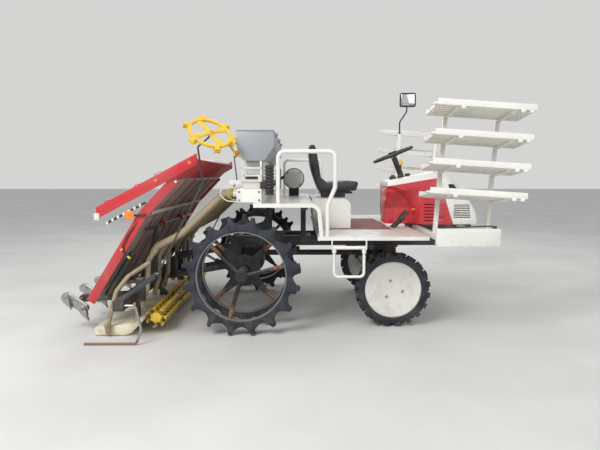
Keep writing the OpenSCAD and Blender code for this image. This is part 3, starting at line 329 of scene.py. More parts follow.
metals = {
    "casting": {"colour": (0.07, 0.075, 0.08, 1), "rough": 0.5, "metal": 0.6, "grain": 260, "mud": 0.35,
                "bump": 0.6},
    "engine": {"colour": (0.1, 0.1, 0.1, 1), "rough": 0.6, "metal": 0.4, "grain": 200, "dust": 0.6},
    "bare_steel": {"colour": (0.5, 0.5, 0.49, 1), "rough": 0.3, "metal": 0.95, "rustFrom": 0.62,
                   "mudTop": 0.15},
    "hubPaint": {"colour": (0.03, 0.032, 0.036, 1), "rough": 0.45, "metal": 0.3, "rustFrom": 0.66,
                 "mud": 0.2, "mudTop": 0.5, "rust": (0.25, 0.115, 0.065, 1),
                 "rustBand": {"inner": 0.2, "outer": 0.312, "bare": 0.3135,
                              "x": -axleBack / 1000, "z": rearAxle[2] / 1000}},
}
metals["guardSteel"] = {**metals["bare_steel"], "rustLow": 0.03}
rubbers = {
    "mat": {"colour": (0.15, 0.012, 0.016, 1), "rough": 0.65, "rings": 0.038, "dust": 0.5, "mud": 0.2},
    "seat_vinyl": {"colour": (0.012, 0.012, 0.014, 1), "rough": 0.42, "creases": 190, "dust": 0.25,
                   "mud": 0.0, "bump": 0.3},
    "tyre_rubber": {"colour": (0.014, 0.017, 0.025, 1), "rough": 0.55, "dust": 0.22, "mud": 0.13,
                    "mudTop": 0.5, "bump": 0.5},
}
glasses = {
    "lamp_glass": {"colour": (0.85, 0.87, 0.88, 1), "metal": 0.0, "through": 0.5, "rays": 0.5},
    "mirrorGlass": {"colour": (0.8, 0.82, 0.84, 1), "metal": 1.0, "through": 0.0, "rays": 0.0},
}
hoses = {
    # the first colour is the shade painted into the grooves between the ribs
    "hose_beige": {"groove": (0.31, 0.24, 0.13, 1), "colour": (0.5, 0.42, 0.27, 1), "pitch": 0.012,
                   "mud": 0.5, "mudTop": 0.8},
}
finishes = {}
for make, looks in ((painted, paints), (metal, metals), (rubbery, rubbers), (glassy, glasses), (ribbed, hoses)):
    finishes.update({name: make(name, look) for name, look in looks.items()})
for name, node in nodes.items():
    finish = "floorPaint" if name in ("step_floor", "rear_deck") else slotOf[name]
    for slot in node.material_slots:
        slot.material = finishes[finish]
print("finishes made:", len(finishes))


def at(x, y, z):
    # the place in metres of a place in mm from the rear axle
    return Vector((x - axleBack, y, z)) / 1000


def pick(*objs):
    bpy.ops.object.select_all(action="DESELECT")
    for obj in objs:
        obj.select_set(True)
    bpy.context.view_layer.objects.active = objs[0]


def openMesh(obj):
    pick(obj)
    bpy.ops.object.mode_set(mode="EDIT")
    bpy.ops.mesh.select_mode(type="FACE")
    bpy.ops.mesh.select_all(action="SELECT")


def closeMesh(merge=0.0):
    bpy.ops.mesh.select_all(action="SELECT")
    if merge:
        bpy.ops.mesh.remove_doubles(threshold=merge)
    bpy.ops.mesh.normals_make_consistent(inside=False)
    bpy.ops.object.mode_set(mode="OBJECT")


def chooseFaces(obj, test):
    bpy.ops.mesh.select_all(action="DESELECT")
    mesh = bmesh.from_edit_mesh(obj.data)
    for face in mesh.faces:
        if test(face.calc_center_median(), face.normal):
            face.select_set(True)
    bmesh.update_edit_mesh(obj.data)


def applied(obj, kind, **settings):
    pick(obj)
    bpy.ops.object.modifier_add(type=kind)
    modifier = obj.modifiers[-1]
    for key, value in settings.items():
        setattr(modifier, key, value)
    bpy.ops.object.modifier_apply(modifier=modifier.name)


def rounded(obj, width, over, steps=2):
    # edges sharper than an angle bevelled to a width in mm
    applied(obj, "BEVEL", width=width / 1000, segments=steps, limit_method="ANGLE",
            angle_limit=math.radians(over), use_clamp_overlap=True)


def settled(name):
    # the object just added, its place and turn put into its mesh
    obj = bpy.context.active_object
    obj.name = obj.data.name = name
    bpy.ops.object.transform_apply(location=True, rotation=True, scale=True)
    return obj


def box(name, low, high, edge=2.0):
    low, high = at(*low), at(*high)
    bpy.ops.object.select_all(action="DESELECT")
    bpy.ops.mesh.primitive_cube_add(size=1, location=(low + high) / 2, scale=high - low)
    obj = settled(name)
    openMesh(obj)
    bpy.ops.mesh.bevel(offset=edge / 1000, segments=2, affect="EDGES")
    closeMesh()
    return obj


def drum(name, start, end, radius, edge=1.5, sides=32, dish=0.0):
    # a bevelled disc or boss between two places, its end face dished if asked
    start, end = at(*start), at(*end)
    line = end - start
    bpy.ops.object.select_all(action="DESELECT")
    bpy.ops.mesh.primitive_cylinder_add(vertices=sides, radius=radius / 1000, depth=line.length,
                                        location=(start + end) / 2,
                                        rotation=line.to_track_quat("Z", "Y").to_euler())
    obj = settled(name)
    openMesh(obj)
    chooseFaces(obj, lambda middle, normal: abs(normal.dot(line.normalized())) > 0.9)
    bpy.ops.mesh.bevel(offset=edge / 1000, segments=2, affect="EDGES")
    if dish:
        chooseFaces(obj, lambda middle, normal: (middle - end).length < 0.002 and normal.dot(line) > 0)
        bpy.ops.mesh.inset(thickness=radius * 0.3 / 1000)
        bpy.ops.transform.translate(value=-line.normalized() * dish / 1000)
    closeMesh()
    return obj


def bentLine(points, bend, steps=5):
    # the corners of a line rounded off
    points = [Vector(p) for p in points]
    line = [points[0]]
    for before, corner, after in zip(points, points[1:], points[2:]):
        u, v = (corner - before).normalized(), (after - corner).normalized()
        turn = u.angle(v)
        if turn < 0.02:
            line.append(corner)
            continue
        side = (v - u * u.dot(v)).normalized()
        start = corner - u * bend * math.tan(turn / 2)
        for k in range(steps + 1):
            angle = turn * k / steps
            line.append(start + u * bend * math.sin(angle) + side * bend * (1 - math.cos(angle)))
    return line + [points[-1]]


def smoothLine(points, steps):
    # a curve through all the places
    points = [Vector(p) for p in points]
    ends = [points[0] * 2 - points[1], *points, points[-1] * 2 - points[-2]]
    line = []
    for a, b, c, d in zip(ends, ends[1:], ends[2:], ends[3:]):
        for t in (k / steps for k in range(steps)):
            bow = (2 * a - 5 * b + 4 * c - d) * t * t + (3 * b - a - 3 * c + d) * t ** 3
            line.append(0.5 * (2 * b + (c - a) * t + bow))
    return line + [points[-1]]


def tube(name, line, radius, sides=3):
    # a round bar along a line of places in mm
    curve = bpy.data.curves.new(name, "CURVE")
    curve.dimensions = "3D"
    curve.bevel_depth = radius / 1000
    curve.bevel_resolution = sides
    curve.use_fill_caps = True
    spline = curve.splines.new("POLY")
    spline.points.add(len(line) - 1)
    for point, place in zip(spline.points, line):
        point.co = (*at(*place), 1)
    obj = bpy.data.objects.new(name, curve)
    bpy.context.scene.collection.objects.link(obj)
    pick(obj)
    bpy.ops.object.convert(target="MESH")
    obj = bpy.context.active_object
    openMesh(obj)
    closeMesh(merge=0.00001)
    return obj


def bolt(x, y, z, radius=7, side=-1):
    # a hexagon head over a washer, facing across the machine
    head = drum("head", (x, y, z), (x, y + side * radius * 0.9, z), radius, 0.8, 6, 0.6)
    washer = drum("washer", (x, y, z), (x, y + side * 1.6, z), radius * 1.5, 0.4, 24)
    return joined("bolt", [head, washer])


def joined(name, parts):
    pick(*parts)
    if len(parts) > 1:
        bpy.ops.object.join()
    parts[0].name = parts[0].data.name = name
    return parts[0]


def turned(obj, angle, axis, centre):
    pick(obj)
    bpy.ops.object.duplicate(linked=False)
    bpy.ops.transform.rotate(value=math.radians(angle), orient_axis=axis, center_override=at(*centre))
    return settled(obj.name + "Turn")


def carried(obj, matrix):
    # a part drawn round the rear axle's middle at ground level, taken to its place
    obj.matrix_world = matrix @ Matrix.Translation(-at(0, 0, 0))
    pick(obj)
    return settled(obj.name)


def otherSide(obj, name):
    # the same piece on the left of the machine
    pick(obj)
    bpy.ops.object.duplicate(linked=False)
    bpy.ops.transform.resize(value=(1, -1, 1), center_override=(0, 0, 0))
    made = settled(name)
    openMesh(made)
    closeMesh()
    return made


def bothSides(name, parts):
    # parts on the right and their mirror image as one piece
    right = joined(name, parts)
    return joined(name, [right, otherSide(right, name + "Left")])


def finished(obj, finish, body, smooth=38, stands=()):
    pick(obj)
    bpy.ops.object.shade_smooth_by_angle(angle=math.radians(smooth))
    obj.data.materials.clear()
    obj.data.materials.append(finishes[finish])
    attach(obj, body)
    slots = [name for name in (finish, *(slotOf[node] for node in stands)) if name in slotOf.values()]
    if stands:
        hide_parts(*stands)
    return obj


def onEachSide(name, parts, finish, bodyRight, bodyLeft):
    # a piece on the right of the machine and its mirror image as a second piece
    right = joined(name + "Right", parts)
    left = otherSide(right, name + "Left")
    finished(right, finish, bodyRight)
    finished(left, finish, bodyLeft)


def copyOf(node, name):
    obj = bpy.data.objects.new(name, nodes[node].data.copy())
    bpy.context.scene.collection.objects.link(obj)
    openMesh(obj)
    bpy.ops.mesh.remove_doubles(threshold=0.00002)
    bpy.ops.mesh.dissolve_limited(angle_limit=math.radians(1))
    closeMesh()
    return obj


# width in mm to which each node's edges are rounded, and its finish where it isn't its slot's
rounding = {
    "dash_panel": (3, None), "front_cowl": (3, None), "side_bumpers": (5, None),
    "rack_shelves": (2.5, None), "rack_frames": (4, None), "hopper": (5, None), "hopper_lid": (3, None),
    "metering_unit": (6, None), "applicator_stand": (5, None), "blower": (4, None),
    "steering_wheel": (3, None), "front_tyre_right": (4, None), "front_tyre_left": (4, None),
    "rear_tyre_right": (5, None), "rear_tyre_left": (5, None), "rear_hub_right": (2.5, "hubPaint"),
    "rear_hub_left": (2.5, "hubPaint"), "floats": (9, None), "planting_rotors": (2.5, None),
    "planting_frame": (4, None), "levelling_rotor": (2, "rotorPlastic"), "table_ends": (2, None),
    "marker_wheel_right": (3, None), "marker_wheel_left": (3, None), "side_mirror": (3, None),
    "engine_block": (8, None), "front_rim_right": (2, None), "front_rim_left": (2, None),
}
for node, (width, finish) in rounding.items():
    first, *others = node.split("_")
    piece = copyOf(node, first + "".join(word.capitalize() for word in others))
    rounded(piece, width, 32)
    finished(piece, finish or slotOf[node], nodes[node]["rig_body"], 38, [node])
print("edges rounded on", len(rounding), "nodes")

# the hood's side is drawn in for the driver's leg, up to an elliptic crease
recess = {"corner": (1150, 0, 740), "across": 245, "height": 312, "depth": 34, "sharp": 0.93,
          "cuts": {"x": range(1166, 1400, 14), "z": range(752, 1060, 14)}, "edge": 2.5}
hood = copyOf("hood_body", "hoodBody")
openMesh(hood)
for place, normal in ([((x, 0, 0), (1, 0, 0)) for x in recess["cuts"]["x"]]
                      + [((0, 0, z), (0, 0, 1)) for z in recess["cuts"]["z"]]):
    bpy.ops.mesh.select_all(action="SELECT")
    bpy.ops.mesh.bisect(plane_co=at(*place), plane_no=normal)
skin = bmesh.from_edit_mesh(hood.data)
for vertex in skin.verts:
    spot = (vertex.co - at(*recess["corner"])) * 1000
    reach = math.hypot(spot.x / recess["across"], spot.z / recess["height"])
    share = max(0.0, min(1.0, (1 - reach) / (1 - recess["sharp"])))
    ease = share * share * (3 - 2 * share) * min(1.0, abs(vertex.co.y) / 0.1)  # none at the hood's middle
    vertex.co.y -= math.copysign(recess["depth"] / 1000 * ease, vertex.co.y)
bmesh.update_edit_mesh(hood.data)
closeMesh()
rounded(hood, recess["edge"], 50)
finished(hood, "hood_red", "chassis", 40, ["hood_body"])
print("hood drawn in")

# the round bars of the right side: line, radius, bend and finish
bars = {
    "handrails": ([(267, -953, 949), (267, -953, 1302), (654, -953, 1302), (654, -953, 1060),
                   (604, -953, 940), (604, -953, 723)], 14.5, 45, "white_paint"),
    "end_guards": ([(-1042, -1065, 9), (-690, -1065, 9), (-655, -1065, 110), (-690, -1065, 272),
                    (-765, -1065, 272)], 9, 28, "guardSteel"),
}
for node, (points, radius, bend, finish) in bars.items():
    pair = bothSides("tube_" + node, [tube("bar", bentLine(points, bend, 8), radius)])
    finished(pair, finish, nodes[node]["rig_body"], 50, [node])

ladder = {"top": 646, "bottom": 444, "rear": 650, "front": 856, "y": 955, "radius": 10, "bend": 30,
          "hinge": 12.5, "hingePast": 9, "collar": 15, "collarSpan": (610, 632)}
for side, s in sides.items():
    y = s * ladder["y"]
    corners = [(ladder["rear"], ladder["top"]), (ladder["rear"], ladder["bottom"]),
               (ladder["front"], ladder["bottom"]), (ladder["front"], ladder["top"])]
    parts = [tube("loop", bentLine([(x, y, z) for x, z in corners], ladder["bend"], 8), ladder["radius"]),
             drum("hinge", (ladder["rear"] - ladder["hingePast"], y, ladder["top"]),
                  (ladder["front"] + ladder["hingePast"], y, ladder["top"]), ladder["hinge"])]
    for x in (ladder["rear"], ladder["front"]):
        parts.append(drum("collar", *((x, y, z) for z in ladder["collarSpan"]), ladder["collar"]))
    finished(joined("ladder_tube_" + side, parts), "white_paint", "ladder_" + side, 50, ["ladder_" + side])
print("tubes bent")

hose = {"radius": 26.5, "rib": 1.5, "pitch": 6, "bend": 60, "keep": 0.78}  # keep: share left at full lift
runDown = Vector((-40, 0, -61)).normalized()
for number, row in enumerate(rows):
    top, foot = (-62, row, 1010), Vector((-650, row, 581))
    path = bentLine([top, (-130, row, 1010), (-440, row, 720), foot - 60 * runDown, foot], hose["bend"], 8)
    line = []
    for a, b in zip(path, path[1:]):
        count = max(1, round((b - a).length / hose["pitch"]))
        line += [a.lerp(b, k / count) for k in range(count)]
    line.append(path[-1])
    piece = tube(f"hose{number}", line, hose["radius"])
    centres = [at(*p) for p in line]
    along = piece.data.attributes.new("along", "FLOAT", "POINT")
    for vertex in piece.data.vertices:
        ring = min(range(len(centres)), key=lambda k: (centres[k] - vertex.co).length_squared)
        along.data[vertex.index].value = ring * hose["pitch"] / 1000
        if ring % 2 and ring < len(centres) - 1:
            vertex.co += (vertex.co - centres[ring]).normalized() * hose["rib"] / 1000
    finished(piece, "hose_beige", "hoses", 60, ["hoses"])
    at(*top)
    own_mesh(piece)
print("hoses ribbed")

seat = {"edge": 28, "voxel": 0.009, "inset": 0.007, "pressure": 4.0, "frames": 20, "most": 0.012,
        "seam": 0.125}
pad = copyOf("seat_pad", "seatPad")
rounded(pad, seat["edge"], 50, 4)
openMesh(pad)
bpy.ops.transform.shrink_fatten(value=-seat["inset"])
closeMesh()
applied(pad, "REMESH", mode="VOXEL", voxel_size=seat["voxel"])
rest = [v.co.copy() for v in pad.data.vertices]
foot = min(p.z for p in rest)
# the foot and two seams from front to back are held while the rest swells
still = [k for k, p in enumerate(rest) if p.z < foot + 0.02 or abs(abs(p.y) - seat["seam"]) < 0.005]
pad.vertex_groups.new(name="held").add(still, 1.0, "ADD")
pick(pad)
bpy.ops.object.modifier_add(type="CLOTH")
cloth = pad.modifiers[-1]
cloth.settings.use_pressure = True
cloth.settings.uniform_pressure_force = seat["pressure"]
cloth.settings.effector_weights.gravity = 0
cloth.settings.vertex_group_mass = "held"
cloth.point_cache.frame_end = seat["frames"]
for moment in range(1, seat["frames"] + 1):
    bpy.context.scene.frame_set(moment)
bpy.ops.object.modifier_apply(modifier=cloth.name)
bpy.context.scene.frame_set(1)
for vertex, start in zip(pad.data.vertices, rest):
    step = vertex.co - start
    if step.length > seat["most"]:
        vertex.co = start + step.normalized() * seat["most"]
finished(pad, "seat_vinyl", "seat", 60, ["seat_pad"])
print("seat padded")

wheelBolts = {"reach": 72, "y": 657, "angles": (108, -10, -133), "size": 8}
hubBolts = {"reach": 92, "y": 618, "count": 8, "size": 9, "cap": (872, 884), "capRadius": 38}
for side, s in sides.items():
    bolts = []
    for angle in map(math.radians, wheelBolts["angles"]):
        x = frontAxle[0] + wheelBolts["reach"] * math.cos(angle)
        z = frontAxle[2] + wheelBolts["reach"] * math.sin(angle)
        bolts.append(bolt(x, s * wheelBolts["y"], z, wheelBolts["size"], s))
    finished(joined("wheelBolts" + side, bolts), "bare_steel", "front_wheel_" + side)
    first = bolt(hubBolts["reach"], s * hubBolts["y"], rearAxle[2], hubBolts["size"], s)
    around = [360 / hubBolts["count"] * k for k in range(1, hubBolts["count"])]
    ringed = [first] + [turned(first, angle, "Y", rearAxle) for angle in around]
    cap = drum("cap", *((0, s * y, rearAxle[2]) for y in hubBolts["cap"]), hubBolts["capRadius"], 4, 32, 3)
    finished(joined("hubBolts_" + side, [*ringed, cap]), "hubPaint", "rear_wheel_" + side)
print("wheels bolted")

web = {"rings": (610, 855), "lugs": 16, "steps": 12, "inner": 326, "valley": 363, "peak": 412,
       "hollow": 1.7, "width": 40, "edge": 3, "tips": 423.5}


def lugWeb(node, y):
    # the rubber between the lugs of one ring, hollowed from lug to lug
    hub = at(0, y, rearAxle[2])
    tyre = [v.co - hub for v in nodes[node].data.vertices if abs(v.co.y * 1000 - y) < 60]
    tips = [math.atan2(p.z, p.x) * web["lugs"] for p in tyre if math.hypot(p.x, p.z) > web["tips"] / 1000]
    lean = math.atan2(sum(map(math.sin, tips)), sum(map(math.cos, tips)))
    bpy.ops.object.select_all(action="DESELECT")
    bpy.ops.mesh.primitive_cylinder_add(vertices=web["lugs"] * web["steps"], radius=web["peak"] / 1000,
                                        depth=web["width"] / 1000, location=hub, rotation=(math.pi / 2, 0, 0))
    ring = settled("web")
    openMesh(ring)
    chooseFaces(ring, lambda middle, normal: abs(normal.y) > 0.9)
    bpy.ops.mesh.inset(thickness=(web["peak"] - web["inner"]) / 1000)
    bpy.ops.mesh.delete(type="FACE")
    bpy.ops.mesh.select_mode(type="EDGE")
    bpy.ops.mesh.select_non_manifold()
    bpy.ops.mesh.bridge_edge_loops()
    skin = bmesh.from_edit_mesh(ring.data)
    for vertex in skin.verts:
        spoke = vertex.co - hub
        reach = math.hypot(spoke.x, spoke.z)
        if reach < web["peak"] / 1000 - 0.002:
            continue
        turn = (math.atan2(spoke.z, spoke.x) * web["lugs"] - lean) / math.tau
        away = abs((turn + 0.5) % 1 - 0.5) * 2  # 0 at a lug, 1 midway to the next
        wanted = web["valley"] + (web["peak"] - web["valley"]) * (1 - away) ** web["hollow"]
        vertex.co = hub + Vector((spoke.x, 0, spoke.z)) * wanted / 1000 / reach + Vector((0, spoke.y, 0))
    bmesh.update_edit_mesh(ring.data)
    closeMesh(merge=0.00001)
    rounded(ring, web["edge"], 50)
    return ring


for side, s in sides.items():
    webs = [lugWeb("rear_tyre_" + side, s * y) for y in web["rings"]]
    finished(joined("lugWebs_" + side, webs), "tyre_rubber", "rear_wheel_" + side, 45)
print("rear lugs webbed")

# the seedling table's line from foot to head in x and z, and what runs along it
lanes = {"line": [(-1042, 265), (-665, 870), (-426, 1123)], "shares": (0.01, 0.5, 0.67, 0.68, 0.99),
         "rib": 2.4, "lifts": (8.5, -8.5), "count": 8, "spacing": 35, "edgeBar": 6, "edgeLift": -11,
         "dividers": (-600, -300, 0, 300, 600), "outermost": 885}


def onTable(share, lift, y):
    # a place on the table, a share of the way up its line and lifted off it in mm
    a, b, c = (Vector(p) for p in lanes["line"])
    low = (b - a).length
    reach = share * (low + (c - b).length)
    start, way = (a, (b - a).normalized()) if reach < low else (b, (c - b).normalized())
    spot = start + way * (reach - (0 if reach < low else low)) + Vector((-way.y, way.x)) * lift
    return (spot.x, y, spot.y)


def upTable(lift, y, radius, sides):
    return tube("rib", [onTable(share, lift, y) for share in lanes["shares"]], radius, sides)


across = [row + (k - (lanes["count"] - 1) / 2) * lanes["spacing"] for row in rows for k in range(lanes["count"])]
ribs = [upTable(lift, y, lanes["rib"], 1) for y in across if abs(y) <= lanes["outermost"]
        for lift in lanes["lifts"]]
finished(joined("laneRibs", ribs), "table_grey", "seedling_table", 60)
edges = [upTable(lanes["edgeLift"], y, lanes["edgeBar"], 2) for y in lanes["dividers"]]
finished(joined("dividerEdges", edges), "red_paint", "seedling_table", 60)

sheet = {"foot": (-419, 1130), "head": (-285, 1250), "off": (4, -5), "radius": 7, "reach": 900, "pitch": 36}
sheetRibs = []
for y in range(-sheet["reach"], sheet["reach"] + 1, sheet["pitch"]):
    for face in (-1, 1):
        dx, dz = (face * off for off in sheet["off"])
        ends = [(x + dx, y, z + dz) for x, z in (sheet["foot"], sheet["head"])]
        sheetRibs.append(tube("rib", ends, sheet["radius"], 2))
finished(joined("sheetRibs", sheetRibs), "red_paint", "seedling_table", 60)

press = {"share": 0.711, "lift": -26, "radius": 6.5, "reach": 890, "clips": range(-875, 876, 50)}
ends = [onTable(press["share"], press["lift"], s * press["reach"]) for s in (-1, 1)]
finished(tube("pressBar", ends, press["radius"]), "black_plastic", "seedling_table")
clips = []
for y in press["clips"]:
    x, y, z = onTable(press["share"], press["lift"], y)
    clips.append(box("clip", (x - 9, y - 9, z - 10), (x + 12, y + 9, z + 12), 4))
finished(joined("pressClips", clips), "white_plastic", "seedling_table")

# the extension's side bars on the right: reflectors, then loops of wire along the top
sideBar = {"plate": ((-778, -957, 842), (-714, -949, 902)), "studs": ((-560, 1105), (-330, 1225)),
           "loops": ((-905, 915), (-700, 1025), (-560, 1105)), "wire": 3.2,
           "loop": ((0, -10), (-12, 48), (40, 66), (44, 12))}
amber = [box("reflector", *sideBar["plate"], 3)] + [bolt(x, -951, z, 8) for x, z in sideBar["studs"]]
finished(bothSides("barReflectors", amber), "amber", "seedling_table")
loops = []
for x, z in sideBar["loops"]:
    corners = [(x + dx, -943, z + dz) for dx, dz in sideBar["loop"]]
    loops.append(tube("loop", bentLine(corners, 14), sideBar["wire"], 2))
finished(bothSides("wireLoops", loops), "red_paint", "seedling_table")
print("table dressed")

# the right rack: each shelf's fittings in its own lean and cant
shelves = {"count": 4, "pitch": 190, "lean": 3.7, "cant": 7.5, "low": 968, "front": 1618, "inner": -805.2,
           "ribs": 6, "ribPitch": 46, "clips": (-154, 232, 288)}
shelfTurn = (Matrix.Rotation(math.radians(shelves["lean"]), 4, "Y")
             @ Matrix.Rotation(math.radians(-shelves["cant"]), 4, "X"))
shelfParts = []
for level in range(shelves["count"]):
    back = (shelves["count"] - 1 - level) * shelves["pitch"] * math.tan(math.radians(shelves["lean"]))
    spot = at(shelves["front"] - back, shelves["inner"], shelves["low"] + level * shelves["pitch"])
    parts = [box("tab", (-342, -292, 2), (-318, -250, 16), 3)]
    for y in (-265 + k * shelves["ribPitch"] for k in range(shelves["ribs"])):
        parts.append(box("rib", (-300, y - 3, -4), (312, y + 3, 1), 1))
    for x in shelves["clips"]:
        parts.append(box("clip", (x - 14, -300, -18), (x + 14, -284, 3), 4))
        parts.append(drum("clipPin", (x, -304, -12), (x, -270, -12), 6, 1.5, 20))
    shelfParts += [carried(part, Matrix.Translation(spot) @ shelfTurn) for part in parts]
onEachSide("shelfFittings", shelfParts, "white_paint", "chassis", "chassis")
print("racks fitted")

marker = {"hub": (-178, -1012, 1420), "axis": (0.36, -0.58, 0.73), "first": 20, "spokes": 4, "inner": 18,
          "reach": 131, "half": 10, "widen": 2.7, "thick": 9}
axis = Vector(marker["axis"]).normalized()
toHub = (Matrix.Translation(at(*marker["hub"])) @ Matrix.Rotation(math.atan2(axis.y, axis.x), 4, "Z")
         @ Matrix.Rotation(math.acos(axis.z), 4, "Y"))
spokes = []
for k in range(marker["spokes"]):
    spoke = box("spoke", (marker["inner"], -marker["half"], -marker["thick"] / 2),
                (marker["reach"], marker["half"], marker["thick"] / 2), 2)
    openMesh(spoke)
    chooseFaces(spoke, lambda middle, normal: middle.x > at(marker["reach"] - 6, 0, 0).x)
    bpy.ops.transform.resize(value=(1, marker["widen"], 1))
    closeMesh()
    around = math.radians(marker["first"] + 360 / marker["spokes"] * k)
    spokes.append(carried(spoke, toHub @ Matrix.Rotation(around, 4, "Z")))
tip = carried(drum("tip", (0, 0, 12), (0, 0, 24), 14, 3, 24, 2), toHub)
onEachSide("markerSpokes", [*spokes, tip], "yellow_plastic", "marker_wheel_right", "marker_wheel_left")
print("marker wheels webbed")

# the applicator's right end: boxes by their corners and edge
applicator = {
    "frame": [((16, -914, 1140), (28, -902, 1243), 2), ((142, -914, 1140), (154, -902, 1243), 2),
              ((16, -914, 1186), (154, -906, 1196), 2), ((-64, -884, 1078), (10, -876, 1108), 3)],
    "eye": ((-58, -888, 1093), (-58, -872, 1093), 17), "roller": ((40, -908, 1116), (126, -899, 1134), 3),
    "stack": {"x": 206, "y": -872, "foot": 1006, "pitch": 23, "count": 9, "ring": 32, "neck": 25},
    "screws": ((-4, 1028), (134, 1028), (-4, 970), (134, 970)),
}
ends = [box("bar", *sizes) for sizes in applicator["frame"]] + [drum("eye", *applicator["eye"], 2, 28, 2)]
blacks = [box("roller", *applicator["roller"])]
stack = applicator["stack"]
for z in (stack["foot"] + k * stack["pitch"] for k in range(stack["count"])):
    for part, low, high, edge in (("ring", 0, 14, 4), ("neck", 13, 24, 1)):
        span = [(stack["x"], stack["y"], z + rise) for rise in (low, high)]
        blacks.append(drum(part, *span, stack[part], edge, 28))
screws = [bolt(x, -915, z, 6) for x, z in applicator["screws"]]
onEachSide("applicatorFrame", ends, "white_paint", "chassis", "chassis")
onEachSide("applicatorStack", blacks, "black_plastic", "chassis", "chassis")
onEachSide("applicatorBolts", screws, "bare_steel", "chassis", "chassis")

blower = {"x": 368, "z": 1112, "face": 434, "plate": 92, "thick": 7, "bolts": (0.8, 2.4, 3.9, 5.5), "reach": 78}
plate = [(blower["x"], y, blower["z"]) for y in (blower["face"] + blower["thick"], blower["face"])]
finished(drum("blowerPlate", *plate, blower["plate"], 3, 64, 2), "white_plastic", "chassis")
blowerBolts = [bolt(blower["x"] + blower["reach"] * math.cos(a), blower["face"],
                    blower["z"] + blower["reach"] * math.sin(a), 6) for a in blower["bolts"]]
finished(joined("blowerBolts", blowerBolts), "bare_steel", "chassis")
print("applicator fitted")

knob = {"spot": (1271, -120, 1248), "radius": 18, "tall": 1.3, "cut": 19}
bpy.ops.object.select_all(action="DESELECT")
bpy.ops.mesh.primitive_uv_sphere_add(segments=24, ring_count=14, radius=knob["radius"] / 1000,
                                     location=at(*knob["spot"]), scale=(1, 1, knob["tall"]))
ball = settled("leverKnob")
openMesh(ball)
bpy.ops.mesh.bisect(plane_co=at(0, 0, knob["spot"][2] - knob["cut"]), plane_no=(0, 0, 1), clear_inner=True,
                    use_fill=True)
closeMesh()
finished(ball, "yellow_plastic", "chassis", 60)

controls = {
    "switches": [((1186, -112, 1100), (1238, -52, 1134), 7), ((1318, -108, 1126), (1356, -62, 1160), 6)],
    "dial": ((1212, -82, 1132), (1212, -82, 1146), 15), "boot": ((1271, -120, 1118), (1271, -120, 1148), 26),
    "pedals": (-300, -380), "grips": (2, 16, 30, 44), "gripHalf": 27, "grip": 3.2,
}
trim = [box("switch", *sizes) for sizes in controls["switches"]]
trim += [drum("dial", *controls["dial"], 2.5, 28, 1.5), drum("boot", *controls["boot"], 8, 28)]
for middle in controls["pedals"]:
    for up in controls["grips"]:
        span = [(1227 + up, middle + s * controls["gripHalf"], 806 + up) for s in (-1, 1)]
        trim.append(tube("grip", span, controls["grip"], 2))
finished(joined("controlTrim", trim), "black_plastic", "chassis")

small = {"hoodReflector": ((1350, -196, 852), (1382, -181, 868)), "mirror": ((1440, 724, 1838), (1572, 729, 1948)),
         "latch": [(1352, -1012, 790), (1700, -1012, 800), (1742, -1012, 794)],
         "latchFeet": [((1362, -1022, 778), (1384, -1002, 796)), ((1716, -1022, 778), (1740, -1002, 800))]}
finished(box("hoodReflector", *small["hoodReflector"]), "amber", "chassis")
finished(box("mirrorGlass", *small["mirror"]), "mirrorGlass", "chassis")
latch = [tube("latch", bentLine(small["latch"], 30), 5, 2)]
latch += [box("latchFoot", low, high, 3) for low, high in small["latchFeet"]]
onEachSide("latchRod", latch, "black_plastic", "chassis", "chassis")
print("driver's place fitted")

# the planting unit's right half: boxes by their corners and edge, bars by their line
covers = {
    "boxes": [((-745, -710, 330), (-675, -534, 520), 16), ((-740, -906, 255), (-672, -862, 430), 16)],
    "guardTube": [(-756, -868, 600), (-768, -868, 581), (-945, -868, 300)], "guardRadius": 24,
    "shaft": ((-716, -380, 470), (-716, -300, 470), 24),
}
blackParts = [box("cover", *sizes) for sizes in covers["boxes"]]
blackParts += [tube("guardTube", covers["guardTube"], covers["guardRadius"]), drum("shaft", *covers["shaft"], 3)]
finished(bothSides("plantingCovers", blackParts), "black_plastic", "planting_unit", 50)
outer = {"pipe": [(-668, -790, 520), (-800, -862, 430), (-874, -895, 330), (-945, -895, 78)], "radius": 17,
         "bend": 50, "shoe": ((-968, -907, 18), (-922, -883, 96)), "foot": 26, "narrow": (0.5, 0.3, 1)}
shoe = box("shoe", *outer["shoe"], 3)
openMesh(shoe)
chooseFaces(shoe, lambda middle, normal: middle.z < outer["foot"] / 1000)
bpy.ops.transform.resize(value=outer["narrow"])
closeMesh()
pipe = tube("pipe", bentLine(outer["pipe"], outer["bend"]), outer["radius"])
finished(bothSides("outerPipes", [pipe, shoe]), "pipe_clear", "planting_unit", 50)
print("planting unit covered")

# what is fixed to the table's right end, and its cable
tableEnd = {
    "cable": [(-612, -893, 902), (-690, -930, 830), (-762, -947, 735), (-802, -948, 655), (-792, -948, 605),
              (-768, -948, 585)],
    "plugs": [((-770, -948, 587), (-752, -948, 572), 7.5), ((-800, -948, 640), (-818, -948, 628), 6.5)],
    "block": ((-988, -958, 836), (-950, -932, 884), 5), "knob": ((-430, -936, 1098), (-430, -944, 1098), 9),
    "clips": 7, "clipFirst": (-900, 818), "clipStep": (38, 20), "strip": [(-908, -944, 814), (-636, -944, 958)],
    "arm": ((-724, -950, 862), (-640, -938, 878), 2),
}
finished(tube("tableCable", bentLine(tableEnd["cable"], 25), 4.5, 2), "black_plastic", "seedling_table", 60)
plugs = [drum("plug", *sizes, 2, 20) for sizes in tableEnd["plugs"]]
finished(joined("cableEnds", plugs), "yellow_plastic", "seedling_table")
whites = [box("block", *tableEnd["block"]), drum("knob", *tableEnd["knob"], 2, 24, 1)]
